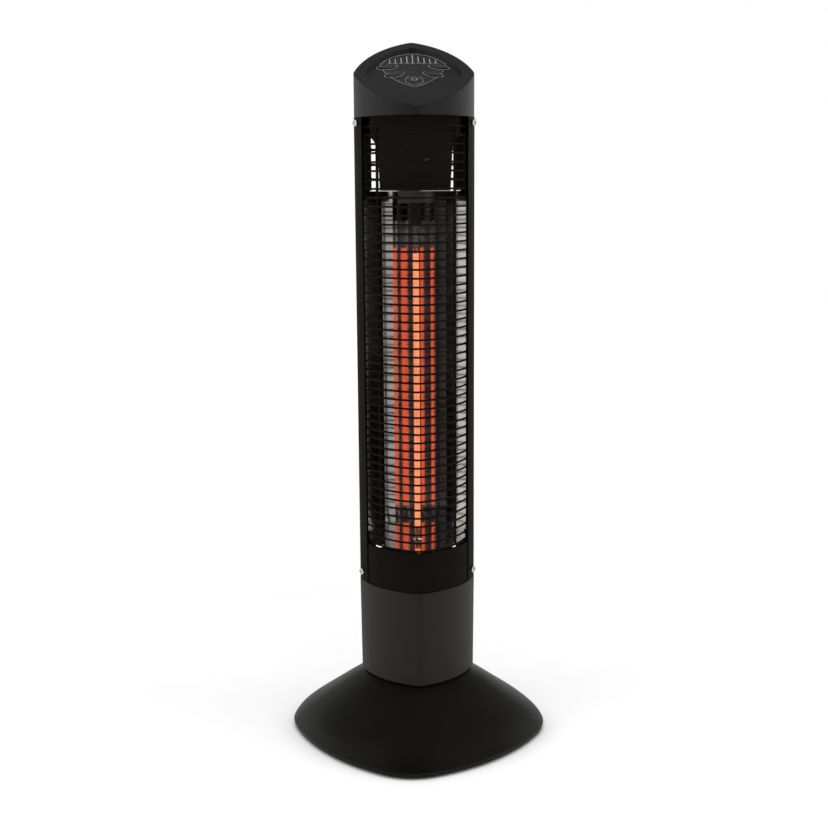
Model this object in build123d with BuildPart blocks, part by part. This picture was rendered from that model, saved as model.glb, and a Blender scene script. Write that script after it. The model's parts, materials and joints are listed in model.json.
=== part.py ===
from build123d import *
import os
from math import acos, copysign, cos, pi, radians, sin, sqrt, tan

# Infrared patio heater tower: a column with a caged quartz lamp turns on a domed base.
# Millimetres, +Z up. The origin is on the floor under the column's axis, the lamp faces
# -Y, and REST_TURN is how far the column stands from the middle of its sweep.

# ---- Sizes that set the heater -------------------------------------------------------

# Column section: a square stood on its corner, with sides that bow out
COLUMN_HALF = 77.1  # axis to corner, before the corner is rounded
COLUMN_BOW = 0.129  # rise of a side over its chord
COLUMN_CORNER = 12.0
POST_FLARE = 0.6  # the post is this much wider at its top and narrower at its foot

# Heights above the floor
BASE_TOP = 84.0
POST_TOP = 212.0
WINDOW_BOTTOM = 266.0  # front edge of the polished plate under the lamp
WINDOW_TOP = 728.0
HEAD_BOTTOM = 820.0
HEAD_MIDDLE = 876.0  # the slanted rim on the column's axis
RIM_SLANT = 30.4

# Base
BASE_HALF = 178.0
BASE_BOW = 0.126
BASE_CORNER = 80.0
BASE_WALL = 3.2
DOME_HALF = 70.5  # half size of the flat top that the column stands over
DOME_POWER = 1.38  # how full the dome is
DOME_SHARES = (0, 0.12, 0.35, 0.65, 1)  # heights at which the dome is drawn
RIM_LOW = 3.0
RIM_HIGH = 9.0  # height of the base's widest line
RIM_TUCK = 1.5
FOOT_HEIGHT = 4.0
FOOT_RADIUS = 12.0
FOOT_CIRCLE = 132.0
FOOT_STEM = 4.0
FOOT_CHAMFER = 0.8
PLATE_THICK = 1.5
PLATE_GAP = 0.8
WEIGHT_HALF = 116.0
WEIGHT_THICK = 13.0
WEIGHT_BORE = 42.0
WEIGHT_CHAMFER = 2.0
WEIGHT_SCREW_CIRCLE = 66.0
BASE_SCREW_CIRCLE = 121.0
BASE_BOSS = 5.5

# Swivel and drive
REST_TURN = 6.7
HUB_RADIUS = 24.0
HUB_BORE = 18.0
HUB_FLANGE = 40.0
HUB_FLANGE_THICK = 4.5
HUB_SCREW_CIRCLE = 33.0
BUSH_WALL = 3.0
BUSH_FLANGE = 36.0
BUSH_FLANGE_THICK = 1.5
COLLAR_WALL = 4.0
COLLAR_DEPTH = 14.0
GEAR_TEETH = 64
PINION_TEETH = 16
GEAR_MODULE = 1.25
GEAR_THICK = 8.0
GEAR_SCREW_CIRCLE = 21.0
GEAR_SCREW_HEAD = 2.7
PRESSURE_ANGLE = radians(20)
BACKLASH = 0.3
DEDENDUM = 1.25  # of the tooth's foot, in modules
MOTOR_RADIUS = 25.0
MOTOR_HEIGHT = 21.0
MOTOR_EAR_REACH = 30.0
MOTOR_EAR_WIDTH = 9.0
MOTOR_EAR_THICK = 1.0
MOTOR_NECK = 5.0
MOTOR_ROUND = 1.5
SHAFT_RADIUS = 2.5
SHAFT_DEPTH = 10.0
BRACKET_THICK = 1.5
BRACKET_LENGTH = 88.0
BRACKET_WIDTH = 32.0
BRACKET_BOSS_X = 36.0
BRACKET_BOSS_OUT = 12.0  # beyond the motor's centre

# Cord inlet
GLAND_RADIUS = 6.0
GLAND_BORE = 3.6
GLAND_HEIGHT = 26.0
GLAND_LENGTH = 27.0
GLAND_PROUD = 5.0  # outside the dome
GLAND_NUT = 9.5
GLAND_NUT_THICK = 4.0
GLAND_CHAMFER = 0.5

# Post
POST_WALL = 3.0
POST_BOSS = 5.5
POST_BOSS_IN = 8.5  # from the column's corner, as for each size that ends in IN
DECK_THICK = 2.0
DECK_BORE = 26.0
DECK_SLOT_BACK = 46.0
DECK_SLOT_SIZE = (60.0, 26.0)

# Rails, rear housing and lower panel
RAIL_PROUD = 0.4  # the rails stand this far outside the column section
RAIL_WALL = 3.2
RAIL_FLANGE_IN = 9.5
HOUSING_WALL = 1.6
HOUSING_IN = 5.5
SLOT_PITCH = 19.0
SLOT_HEIGHT = 15.5
SLOT_REACH = 55.0
SLOT_RIB = 5.0
SLOT_ROWS = 4
SLOT_ROUND = 1.5
SLOT_TOP = 798.0
INTAKE_TOP = 256.0
PANEL_INSET = 0.8
PANEL_WALL = 2.0
PANEL_RISE = 0.2  # over the polished plate's front edge

# Grille
WIRE_RADIUS = 1.3
WIRE_PITCH = 11.0
WIRE_LOWEST = 269.0
WIRE_NOSE_IN = 1.2
WIRE_END_IN = 8.9
WIRE_END_OUT = 8.0
WIRE_BOW = 0.1245  # rise of a wire's side over its chord
WIRE_CORNER = 14.0
UPRIGHT_RADIUS = 1.9
UPRIGHT_SHARE = 0.625  # how far along a wire's side the upright is welded
UPRIGHT_OVERHANG = 1.5
WELD = 0.3  # how deep wire and upright join
STRIP_WIDTH = 8.0
STRIP_THICK = 2.0
GRILLE_PAD = 4.2

# Bright pan-head screws at the corners of the grille
SEAT_IN = 3.2
SEAT_OUT = 11.0
GRILLE_SCREW_FACING = 48.0  # degrees from the front
GRILLE_SCREW_LOW = 224.5
GRILLE_SCREW_HIGH = 813.0
GRILLE_SCREW_HEAD = 4.5
GRILLE_SCREW_HEAD_HEIGHT = 3.0
GRILLE_SCREW_SHANK = 2.0
GRILLE_SCREW_LENGTH = 13.0
STRIP_DEPTH = 6.0  # from a screw's seat to the strip behind the rail
PAD_DEPTH = 5.4

# Reflectors
SHEET = 0.8
TROUGH_BACK = 38.1  # behind the axis, at the middle fold
TROUGH_FOLDS = ((21.9, 36.0), (28.0, 34.7), (42.0, 28.0))  # the folds on each side
TROUGH_EDGE_IN = 7.5
TROUGH_EDGE_BACK = 6.4
PLATE_SLOPE = 6.0
PLATE_INSET = 5.8
TOP_PLATE_INSET = 6.0
PLATE_SIDE_IN = 13.0
NOTCH_GAP = 0.8

# Lamp
LAMP_OUT = 22.0  # in front of the column's axis
LAMP_RADIUS = 5.5
LAMP_WALL = 1.0
LAMP_LOW = 261.5
LAMP_HIGH = 694.0
GLOW_LOW = 287.0
GLOW_HIGH = 651.0
FILAMENT_RADIUS = 4.0
ROD_RADIUS = 0.8
CAP_RADIUS = 7.0
CAP_LENGTH = 26.0
CAP_GRIP = 7.0  # how far a cap reaches over the tube
HOLDER_WIDTH = 44.0
HOLDER_DEPTH = 26.0
HOLDER_THICK = 1.5

# Shield above the lamp
HOOD_FRONT = 26.0  # in front of the column's axis
HOOD_DEPTH = 44.0
HOOD_WALL = 1.0
HOOD_LOW_HALF = 44.5
HOOD_NECK = (46.5, 772.0)  # half width and height where the hood starts to flare
HOOD_FLARE = (49.5, 787.0)
HOOD_BRIM = (57.0, 797.0)
CUTOUT_SIZE = (18.0, 10.0, 8.0)
CUTOUT_ROUND = 3.0
CUTOUT_PLACE = (0.0, 22.0)
SMALL_SCREW_SIDE = 15.0
HOOD_SCREW_HEIGHT = 766.0

# Head
HEAD_WALL = 3.0
HEAD_FLOOR_THICK = 2.0
HEAD_BOSS = 4.5
HEAD_BOSS_IN = 17.5
RIM_ROUND = 2.0
DISH_IN = 15.5
DISH_DEPTH = 5.0
DISH_TAPER = radians(25)
DISH_CORNER = 12.0
CONTROL_FLOOR = 3.0
FASCIA_HALF = 44.0
FASCIA_MIDDLE = 32.0
FASCIA_BACK = 32.0
FASCIA_FRONT = 66.0
FASCIA_CORNER = 5.0
FASCIA_THICK = 1.0
FASCIA_GAP = 0.5
BAR_COUNT = 9
BAR_PITCH = 7.4
BAR_WIDTH = 1.0
BAR_LOW = 36.0
BAR_TALLEST = 24.0
BAR_FALL = 0.78  # each bar's length over its inner neighbour's
BAR_PROUD = 0.3
GUIDE_THICK = 1.6
GUIDE_EDGE = 4.0
GUIDE_ANGLE = 60.0

# Buttons
LEAF_LENGTH = 24.0
LEAF_WIDTH = 11.0
LEAF_ROUND = 1.0
UPPER_LEAF = (33.5, 24.0)
UPPER_LEAF_TURN = 17.0
LOWER_LEAF = (24.5, 3.5)
LOWER_LEAF_TURN = 25.0
POWER_RADIUS = 9.5
POWER_PLACE = -12.5
BUTTON_RISE = 1.7
BUTTON_GAP = 0.3
BUTTON_EDGE = 0.8
BUTTON_FLANGE = 1.2
BUTTON_STEM = 2.0
BUTTON_STEM_LENGTH = 3.0
BUTTON_TRAVEL = 0.8
SWITCH_SIZE = 6.0
SWITCH_HEIGHT = 3.5
SWITCH_GAP = 0.1
BOARD_THICK = 1.6
BOARD_INSET = 3.0
BOARD_BOSS = 3.0
BOARD_SCREWS = ((-8.0, 20.0), (8.0, 20.0), (0.0, -26.5))

# Fasteners, boards and wiring
SCREW_RADIUS = 1.5
SCREW_HEAD = 3.0
SCREW_HEAD_HEIGHT = 2.0
SCREW_GRIP = 8.0
PAN_ROUND = 0.33  # of a screw head's edge, over its height
RECESS_WIDTH = 0.9
RECESS_DEPTH = 1.2
RECESS_REACH = 1.2  # across the cross, over the head's radius
POWER_BOARD_SIZE = (84.0, 78.0)
POWER_BOARD_BACK = 44.0
HEADER_WIDTH = 18.0
HEADER_HEIGHT = 9.0
HEADER_DEPTH = 8.0
RELAY_SIZE = (20.0, 16.0, 26.0)
RELAY_SIDE = 21.0
RELAY_RISE = 19.0  # of the upper relay over the board's middle
COIL_SIZE = (34.0, 24.0, 28.0)
TERMINAL_SIZE = (46.0, 16.0, 17.0)
TERMINAL_PITCH = 15.0
TERMINAL_WELL = 4.0
TERMINAL_OUT = 36.0
TILT_RADIUS = 8.0
TILT_HEIGHT = 18.0
TILT_EDGE = 1.3
TILT_PLACE = (38.0, -6.0)
LEAD_RADIUS = 1.5
LEAD_SIDE = 4.0  # from the middle of the relays
LEAD_BACK = 52.0
LEAD_BEND = 8.0
LEAD_HOLE = 3.0
LEAD_RISE = 60.0
LOW_LEAD_LEVEL = 230.0
HIGH_LEAD_START = 222.0
HIGH_LEAD_LEVEL = 743.0
RIBBON_WIDTH = 12.0
RIBBON_THICK = 1.0
RIBBON_SIDE = 14.0
RIBBON_GAP = 0.7  # around the ribbon where it passes the head's floor

# Clearances
RUNNING = 0.05
CLEAR = 0.2
UNDER_COLLAR = 0.5

# ---- Places worked out from those sizes ----------------------------------------------

BASE_PLANE = Plane.XY.rotated((0, 0, -REST_TURN))
POST_BOSS_PLACE = COLUMN_HALF - POST_BOSS_IN
HEAD_BOSS_PLACE = COLUMN_HALF - HEAD_BOSS_IN
RAIL_INNER = COLUMN_HALF - RAIL_FLANGE_IN
HOUSING_REACH = COLUMN_HALF - HOUSING_IN
WIRE_NOSE = Vector(0, WIRE_NOSE_IN - COLUMN_HALF)
SEAT = Vector(COLUMN_HALF - SEAT_IN, -SEAT_OUT)
TROUGH_EDGE = (COLUMN_HALF - TROUGH_EDGE_IN, TROUGH_EDGE_BACK)
PLATE_REACH = COLUMN_HALF - PLATE_SIDE_IN
DISH_HALF = COLUMN_HALF - DISH_IN
PLATE_TOP = FOOT_HEIGHT + PLATE_THICK
POST_BOTTOM = BASE_TOP + BUSH_FLANGE_THICK
POST_FLOOR = POST_BOTTOM + HUB_FLANGE_THICK
COLLAR_LOW = BASE_TOP - COLLAR_DEPTH
GEAR_TOP = COLLAR_LOW - UNDER_COLLAR
GEAR_LOW = GEAR_TOP - GEAR_THICK
BUSH_RADIUS = HUB_RADIUS + RUNNING + BUSH_WALL
GEAR_DISTANCE = GEAR_MODULE * (GEAR_TEETH + PINION_TEETH) / 2
BRACKET_TOP = GEAR_LOW - BRACKET_THICK
MOTOR_TOP = BRACKET_TOP - BRACKET_THICK
BRACKET_BOSS_Y = GEAR_DISTANCE + BRACKET_BOSS_OUT
RAIL_DEPTH = RAIL_WALL - RAIL_PROUD
HOUSING_INSET = RAIL_DEPTH + CLEAR / 2
SCREW_OUT = (sin(radians(GRILLE_SCREW_FACING)), -cos(radians(GRILLE_SCREW_FACING)))
RIBBON_BACK = POWER_BOARD_BACK + BOARD_THICK + HEADER_DEPTH / 2
DECK_LOW = POST_TOP - DECK_THICK
SLANT = radians(RIM_SLANT)
RIM_PLANE = Plane((0, 0, HEAD_MIDDLE), x_dir=(1, 0, 0), z_dir=(0, -sin(SLANT), cos(SLANT)))
SLOPE = radians(PLATE_SLOPE)
PLATE_PLANE = Plane(
    (0, PLATE_INSET - COLUMN_HALF, WINDOW_BOTTOM), x_dir=(1, 0, 0), z_dir=(0, -sin(SLOPE), cos(SLOPE))
)
PANEL_UNDER = DISH_DEPTH + CONTROL_FLOOR
STEM_END = PANEL_UNDER + BUTTON_FLANGE + BUTTON_STEM_LENGTH
BOARD_TOP = STEM_END + BUTTON_TRAVEL + SWITCH_GAP + SWITCH_HEIGHT
HOLDER_LOW = LAMP_LOW + CAP_GRIP - CAP_LENGTH
HOLDER_HIGH = LAMP_HIGH - CAP_GRIP + CAP_LENGTH


# ---- Shapes that several pieces share ------------------------------------------------


def bowed_diamond(half, back, front, bow, corner):
    """Four corners at +-half, back and -front, joined by arcs that bow out."""
    with BuildSketch(mode=Mode.PRIVATE) as shape:
        with BuildLine():
            for side in (1, -1):
                for tip in (back, -front):
                    bulge = Vector(side * abs(tip), copysign(half, tip)) * bow
                    middle = Vector(side * half, tip) / 2 + bulge
                    ThreePointArc((side * half, 0), middle, (0, tip))
        make_face()
        fillet(shape.vertices(), corner)
    return shape.sketch_local


def side_arc(half, bow):
    """The radius of a bowed square's side, and where its centre lies along X and along Y."""
    chord = half * sqrt(2)
    rise = chord * bow
    radius = (chord**2 / 4 + rise**2) / (2 * rise)
    return radius, (chord / 2 + rise - radius) / sqrt(2)


def column_outline(inset=0.0, flare=0.0):
    """The column's section with its corners moved out by flare and its sides in by inset."""
    radius, centre = side_arc(COLUMN_HALF + flare, COLUMN_BOW)
    half = centre + sqrt((radius - inset) ** 2 - centre**2)
    inset_rise = centre * sqrt(2) + radius - inset - half / sqrt(2)
    return bowed_diamond(half, half, half, inset_rise / (half * sqrt(2)), COLUMN_CORNER - inset)


def base_outline(half):
    return bowed_diamond(half, half, half, BASE_BOW, BASE_CORNER * half / BASE_HALF)


def dome_half(share, low=BASE_HALF, high=DOME_HALF):
    """Half the size of the dome at a share of its height."""
    return high + (low - high) * (1 - share**DOME_POWER)


def corner_reach(half):
    """How far the rounded corner of the base's outline lies from its middle."""
    radius, centre = side_arc(half, BASE_BOW)
    corner = BASE_CORNER * half / BASE_HALF
    return centre + sqrt((radius - corner) ** 2 - centre**2) + corner


def fascia_outline(inset=0.0):
    share = 1 - inset / FASCIA_BACK
    half, back, front = (size * share for size in (FASCIA_HALF, FASCIA_BACK, FASCIA_FRONT))
    return bowed_diamond(half, back, front, COLUMN_BOW, FASCIA_CORNER)


def leaf_outline(grow=0.0):
    """A pointed leaf between two arcs, with its outline moved out by grow."""
    radius = (LEAF_LENGTH**2 + LEAF_WIDTH**2) / (4 * LEAF_WIDTH)
    tip = sqrt((radius + grow) ** 2 - (radius - LEAF_WIDTH / 2) ** 2)
    with BuildSketch(mode=Mode.PRIVATE) as shape:
        with BuildLine():
            for side in (1, -1):
                ThreePointArc((-tip, 0), (0, side * (LEAF_WIDTH / 2 + grow)), (tip, 0))
        make_face()
        fillet(shape.vertices(), LEAF_ROUND + grow)
    return shape.sketch_local


def round_outline(grow=0.0):
    with BuildSketch(mode=Mode.PRIVATE) as shape:
        Circle(POWER_RADIUS + grow)
    return shape.sketch_local


def dome_sections(half_low, half_high, low, high):
    """Outlines of the base's bowed square, drawn in from low to high as a rounded dome."""
    sections = []
    for share in DOME_SHARES:
        outline = base_outline(dome_half(share, half_low, half_high))
        sections.append(BASE_PLANE.offset(low + share * (high - low)) * outline)
    return sections


def involute(angle):
    return tan(angle) - angle


def gear_outline(teeth):
    """An involute gear whose first tooth points along +X."""
    pitch = GEAR_MODULE * teeth / 2
    base = pitch * cos(PRESSURE_ANGLE)
    tip = pitch + GEAR_MODULE
    root = pitch - DEDENDUM * GEAR_MODULE
    half_tooth = pi / (2 * teeth) - BACKLASH / (4 * pitch) + involute(PRESSURE_ANGLE)
    low = max(base, root)

    def flank(radius, side, middle):
        turn = middle + side * (half_tooth - involute(acos(min(1, base / radius))))
        return Vector(radius * cos(turn), radius * sin(turn))

    with BuildSketch(mode=Mode.PRIVATE) as shape:
        with BuildLine():
            for tooth in range(teeth):
                middle = 2 * pi * tooth / teeth
                following = middle + 2 * pi / teeth
                heel = flank(low, 1, middle)
                toe = flank(low, -1, following)
                for side in (-1, 1):
                    radii = (low, (low + tip) / 2, tip)
                    ThreePointArc(*(flank(radius, side, middle) for radius in radii))
                ThreePointArc(
                    flank(tip, -1, middle), (tip * cos(middle), tip * sin(middle)), flank(tip, 1, middle)
                )
                between = middle + pi / teeth
                bottom = Vector(root * cos(between), root * sin(between))
                if root < base:
                    Line(heel, heel.normalized() * root)
                    Line(toe, toe.normalized() * root)
                ThreePointArc(heel.normalized() * root, bottom, toe.normalized() * root)
        make_face()
    return shape.sketch_local


def pan_screw(shank=SCREW_RADIUS, grip=SCREW_GRIP, head=SCREW_HEAD, height=SCREW_HEAD_HEIGHT):
    """A cross-recessed pan-head screw: the head stands on XY and the shank hangs below."""
    with BuildPart(mode=Mode.PRIVATE) as made:
        Cylinder(head, height, align=(Align.CENTER, Align.CENTER, Align.MIN))
        fillet(made.edges().filter_by(GeomType.CIRCLE).sort_by(Axis.Z)[-1], height * PAN_ROUND)
        Cylinder(shank, grip, align=(Align.CENTER, Align.CENTER, Align.MAX))
        with BuildSketch(Plane.XY.offset(height)):
            Rectangle(head * RECESS_REACH, RECESS_WIDTH)
            Rectangle(RECESS_WIDTH, head * RECESS_REACH)
        extrude(amount=-RECESS_DEPTH, mode=Mode.SUBTRACT)
    return made.part


def set_screws(planes, screw):
    """Stand one copy of screw on each plane of the current part."""
    with Locations(*(plane.location for plane in planes)):
        add(screw)


def finish(part, name):
    part.label = name
    export_step(part, f"parts/{name}.step")


os.makedirs("parts", exist_ok=True)

# ---- Base ----------------------------------------------------------------------------

with BuildPart() as dome_form:
    loft(dome_sections(BASE_HALF, DOME_HALF, RIM_HIGH, BASE_TOP))
    with BuildSketch(BASE_PLANE.offset(RIM_LOW)):
        add(base_outline(BASE_HALF - RIM_TUCK))
    with BuildSketch(BASE_PLANE.offset(RIM_HIGH)):
        add(base_outline(BASE_HALF))
    loft(ruled=True)

BASE_INNER = BASE_HALF - BASE_WALL
BASE_SCREWS = PolarLocations(BASE_SCREW_CIRCLE, 4, start_angle=45)
BRACKET_BOSSES = ((-BRACKET_BOSS_X, BRACKET_BOSS_Y), (BRACKET_BOSS_X, BRACKET_BOSS_Y))
MOTOR_EARS = ((-MOTOR_EAR_REACH, GEAR_DISTANCE), (MOTOR_EAR_REACH, GEAR_DISTANCE))
REAR = Vector(0, 1, 0).rotate(Axis.Z, -REST_TURN)
GLAND_SHARE = (GLAND_HEIGHT - RIM_HIGH) / (BASE_TOP - RIM_HIGH)
GLAND_REACH = corner_reach(dome_half(GLAND_SHARE)) + GLAND_PROUD
GLAND_PLANE = Plane(REAR * GLAND_REACH + Vector(0, 0, GLAND_HEIGHT), z_dir=REAR)

with BuildPart() as cover_bosses:
    with BuildSketch(BASE_PLANE.offset(PLATE_TOP)):
        with BASE_SCREWS:
            Circle(BASE_BOSS)
    extrude(amount=BASE_TOP - PLATE_TOP)
    with BuildSketch(BASE_PLANE.offset(BRACKET_TOP)):
        with Locations(*BRACKET_BOSSES):
            Circle(BASE_BOSS)
    extrude(amount=BASE_TOP - BRACKET_TOP)
    add(dome_form.part, mode=Mode.INTERSECT)

with BuildPart() as base_cover:
    add(dome_form.part)
    loft(
        dome_sections(BASE_INNER, DOME_HALF - BASE_WALL, RIM_HIGH, BASE_TOP - BASE_WALL),
        mode=Mode.SUBTRACT,
    )
    with BuildSketch(BASE_PLANE.offset(RIM_LOW)):
        add(base_outline(BASE_INNER))
    extrude(amount=RIM_HIGH - RIM_LOW, mode=Mode.SUBTRACT)
    add(cover_bosses.part)
    with BuildSketch(BASE_PLANE.offset(COLLAR_LOW)):
        Circle(BUSH_RADIUS + COLLAR_WALL)
    extrude(amount=COLLAR_DEPTH)
    with BuildSketch(BASE_PLANE.offset(COLLAR_LOW)):
        Circle(BUSH_RADIUS)
    extrude(amount=COLLAR_DEPTH, mode=Mode.SUBTRACT)
    with BuildSketch(BASE_PLANE.offset(PLATE_TOP)):
        with BASE_SCREWS:
            Circle(SCREW_RADIUS)
    extrude(amount=SCREW_GRIP, mode=Mode.SUBTRACT)
    with BuildSketch(BASE_PLANE.offset(BRACKET_TOP)):
        with Locations(*BRACKET_BOSSES):
            Circle(SCREW_RADIUS)
    extrude(amount=SCREW_GRIP, mode=Mode.SUBTRACT)
    with BuildSketch(GLAND_PLANE.offset(GLAND_RADIUS)):
        Circle(GLAND_RADIUS)
    extrude(amount=-GLAND_LENGTH, mode=Mode.SUBTRACT)
finish(base_cover.part, "base_cover")

with BuildPart() as base_plate:
    with BuildSketch(BASE_PLANE.offset(FOOT_HEIGHT)):
        add(base_outline(BASE_INNER - PLATE_GAP))
        with BASE_SCREWS:
            Circle(SCREW_RADIUS + RUNNING, mode=Mode.SUBTRACT)
        with PolarLocations(WEIGHT_SCREW_CIRCLE, 3):
            Circle(SCREW_RADIUS + RUNNING, mode=Mode.SUBTRACT)
        with PolarLocations(FOOT_CIRCLE, 4):
            Circle(FOOT_STEM, mode=Mode.SUBTRACT)
    extrude(amount=PLATE_THICK)
finish(base_plate.part, "base_plate")

with BuildPart() as base_weight:
    with BuildSketch(BASE_PLANE.offset(PLATE_TOP)):
        add(base_outline(WEIGHT_HALF))
        Circle(WEIGHT_BORE, mode=Mode.SUBTRACT)
    extrude(amount=WEIGHT_THICK)
    chamfer(base_weight.edges().group_by(Axis.Z)[-1], WEIGHT_CHAMFER)
    with BuildSketch(BASE_PLANE.offset(PLATE_TOP)):
        with PolarLocations(WEIGHT_SCREW_CIRCLE, 3):
            Circle(SCREW_RADIUS)
    extrude(amount=SCREW_GRIP, mode=Mode.SUBTRACT)
finish(base_weight.part, "base_weight")

with BuildPart() as rubber_feet:
    with BuildSketch(BASE_PLANE):
        with PolarLocations(FOOT_CIRCLE, 4):
            Circle(FOOT_RADIUS)
    extrude(amount=FOOT_HEIGHT)
    chamfer(rubber_feet.edges().group_by(Axis.Z)[0], FOOT_CHAMFER)
    with BuildSketch(BASE_PLANE.offset(FOOT_HEIGHT)):
        with PolarLocations(FOOT_CIRCLE, 4):
            Circle(FOOT_STEM)
    extrude(amount=2 * PLATE_THICK)
finish(rubber_feet.part, "rubber_feet")

small_screw = pan_screw()
UNDER_PLATE = Plane(BASE_PLANE.offset(FOOT_HEIGHT).origin, x_dir=BASE_PLANE.x_dir, z_dir=(0, 0, -1))


def around(plane, radius, count, start=0):
    """Planes like plane, spread evenly on a circle about its origin."""
    spots = [Vector(radius, 0).rotate(Axis.Z, start + 360 * k / count) for k in range(count)]
    return [Plane(plane.from_local_coords(spot), z_dir=plane.z_dir) for spot in spots]


with BuildPart() as base_screws:
    set_screws(around(UNDER_PLATE, BASE_SCREW_CIRCLE, 4, 45), small_screw)
finish(base_screws.part, "base_screws")

with BuildPart() as weight_screws:
    set_screws(around(UNDER_PLATE, WEIGHT_SCREW_CIRCLE, 3), small_screw)
finish(weight_screws.part, "weight_screws")

with BuildPart() as cord_gland:
    with BuildSketch(GLAND_PLANE):
        Circle(GLAND_RADIUS)
    extrude(amount=-GLAND_LENGTH)
    with BuildSketch(GLAND_PLANE.offset(-GLAND_LENGTH)):
        RegularPolygon(GLAND_NUT, 6)
    extrude(amount=GLAND_NUT_THICK)
    with BuildSketch(GLAND_PLANE):
        Circle(GLAND_BORE)
    extrude(amount=-GLAND_LENGTH, mode=Mode.SUBTRACT)
    mouth = cord_gland.edges().filter_by(GeomType.CIRCLE).sort_by(Axis(GLAND_PLANE.origin, REAR))[-2:]
    chamfer(mouth, GLAND_CHAMFER)
finish(cord_gland.part, "cord_gland")

with BuildPart() as swivel_bush:
    with BuildSketch(BASE_PLANE.offset(COLLAR_LOW)):
        Circle(BUSH_RADIUS)
    extrude(amount=COLLAR_DEPTH)
    with BuildSketch(BASE_PLANE.offset(BASE_TOP)):
        Circle(BUSH_FLANGE)
    extrude(amount=BUSH_FLANGE_THICK)
    with BuildSketch(BASE_PLANE.offset(COLLAR_LOW)):
        Circle(HUB_RADIUS + RUNNING)
    extrude(amount=COLLAR_DEPTH + BUSH_FLANGE_THICK, mode=Mode.SUBTRACT)
finish(swivel_bush.part, "swivel_bush")

with BuildPart() as motor_bracket:
    with BuildSketch(BASE_PLANE.offset(BRACKET_TOP)):
        with Locations((0, GEAR_DISTANCE + BRACKET_BOSS_OUT / 2)):
            RectangleRounded(BRACKET_LENGTH, BRACKET_WIDTH, BASE_BOSS)
        with Locations(*BRACKET_BOSSES, *MOTOR_EARS):
            Circle(SCREW_RADIUS + RUNNING, mode=Mode.SUBTRACT)
        with Locations((0, GEAR_DISTANCE)):
            Circle(MOTOR_NECK + CLEAR, mode=Mode.SUBTRACT)
    extrude(amount=-BRACKET_THICK)
finish(motor_bracket.part, "motor_bracket")

with BuildPart() as oscillation_motor:
    with BuildSketch(BASE_PLANE.offset(MOTOR_TOP)):
        with Locations((0, GEAR_DISTANCE)):
            Circle(MOTOR_RADIUS)
    extrude(amount=-MOTOR_HEIGHT)
    fillet(oscillation_motor.edges().group_by(Axis.Z)[0], MOTOR_ROUND)
    with BuildSketch(BASE_PLANE.offset(MOTOR_TOP)):
        with Locations((0, GEAR_DISTANCE)):
            SlotCenterToCenter(2 * MOTOR_EAR_REACH, MOTOR_EAR_WIDTH)
    extrude(amount=-MOTOR_EAR_THICK)
    with BuildSketch(BASE_PLANE.offset(MOTOR_TOP)):
        with Locations((0, GEAR_DISTANCE)):
            Circle(MOTOR_NECK)
    extrude(amount=BRACKET_THICK)
    with BuildSketch(BASE_PLANE.offset(BRACKET_TOP)):
        with Locations((0, GEAR_DISTANCE)):
            Circle(SHAFT_RADIUS + RUNNING)
    extrude(amount=-SHAFT_DEPTH, mode=Mode.SUBTRACT)
    with BuildSketch(BASE_PLANE.offset(MOTOR_TOP)):
        with Locations(*MOTOR_EARS):
            Circle(SCREW_RADIUS + RUNNING)
    extrude(amount=-MOTOR_EAR_THICK, mode=Mode.SUBTRACT)
finish(oscillation_motor.part, "oscillation_motor")

ear_screw = pan_screw(grip=MOTOR_EAR_THICK + BRACKET_THICK)


def below(place, height):
    """A downward-facing plane at a place on the base."""
    return Plane(BASE_PLANE.offset(height).from_local_coords(Vector(*place, 0)), z_dir=(0, 0, -1))


with BuildPart() as motor_screws:
    set_screws([below(place, MOTOR_TOP) for place in BRACKET_BOSSES], small_screw)
    set_screws([below(place, MOTOR_TOP - MOTOR_EAR_THICK) for place in MOTOR_EARS], ear_screw)
finish(motor_screws.part, "motor_screws")

# ---- Drive pinion, on the motor's shaft ----------------------------------------------

with BuildPart() as motor_shaft:
    with BuildSketch(BASE_PLANE.offset(BRACKET_TOP - SHAFT_DEPTH + CLEAR)):
        with Locations((0, GEAR_DISTANCE)):
            Circle(SHAFT_RADIUS)
    extrude(amount=GEAR_TOP - BRACKET_TOP + SHAFT_DEPTH - CLEAR)
finish(motor_shaft.part, "motor_shaft")

with BuildPart() as drive_pinion:
    with BuildSketch(BASE_PLANE.offset(GEAR_LOW)):
        with Locations(Location((0, GEAR_DISTANCE), -90 + 180 / PINION_TEETH)):
            add(gear_outline(PINION_TEETH))
        with Locations((0, GEAR_DISTANCE)):
            Circle(SHAFT_RADIUS, mode=Mode.SUBTRACT)
    extrude(amount=GEAR_THICK)
finish(drive_pinion.part, "drive_pinion")

# ---- Swivel, which turns with the column ---------------------------------------------

with BuildPart() as swivel_hub:
    with BuildSketch(Plane.XY.offset(GEAR_TOP)):
        Circle(HUB_RADIUS)
    extrude(amount=POST_BOTTOM - GEAR_TOP)
    with BuildSketch(Plane.XY.offset(POST_BOTTOM)):
        Circle(HUB_FLANGE)
    extrude(amount=HUB_FLANGE_THICK)
    with BuildSketch(Plane.XY.offset(GEAR_TOP)):
        Circle(HUB_BORE)
    extrude(amount=POST_FLOOR - GEAR_TOP, mode=Mode.SUBTRACT)
    with BuildSketch(Plane.XY.offset(GEAR_TOP)):
        with PolarLocations(GEAR_SCREW_CIRCLE, 3):
            Circle(SCREW_RADIUS)
    extrude(amount=SCREW_GRIP, mode=Mode.SUBTRACT)
    with BuildSketch(Plane.XY.offset(POST_FLOOR)):
        with PolarLocations(HUB_SCREW_CIRCLE, 4, start_angle=45):
            Circle(SCREW_RADIUS)
    extrude(amount=-HUB_FLANGE_THICK, mode=Mode.SUBTRACT)
finish(swivel_hub.part, "swivel_hub")

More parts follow.
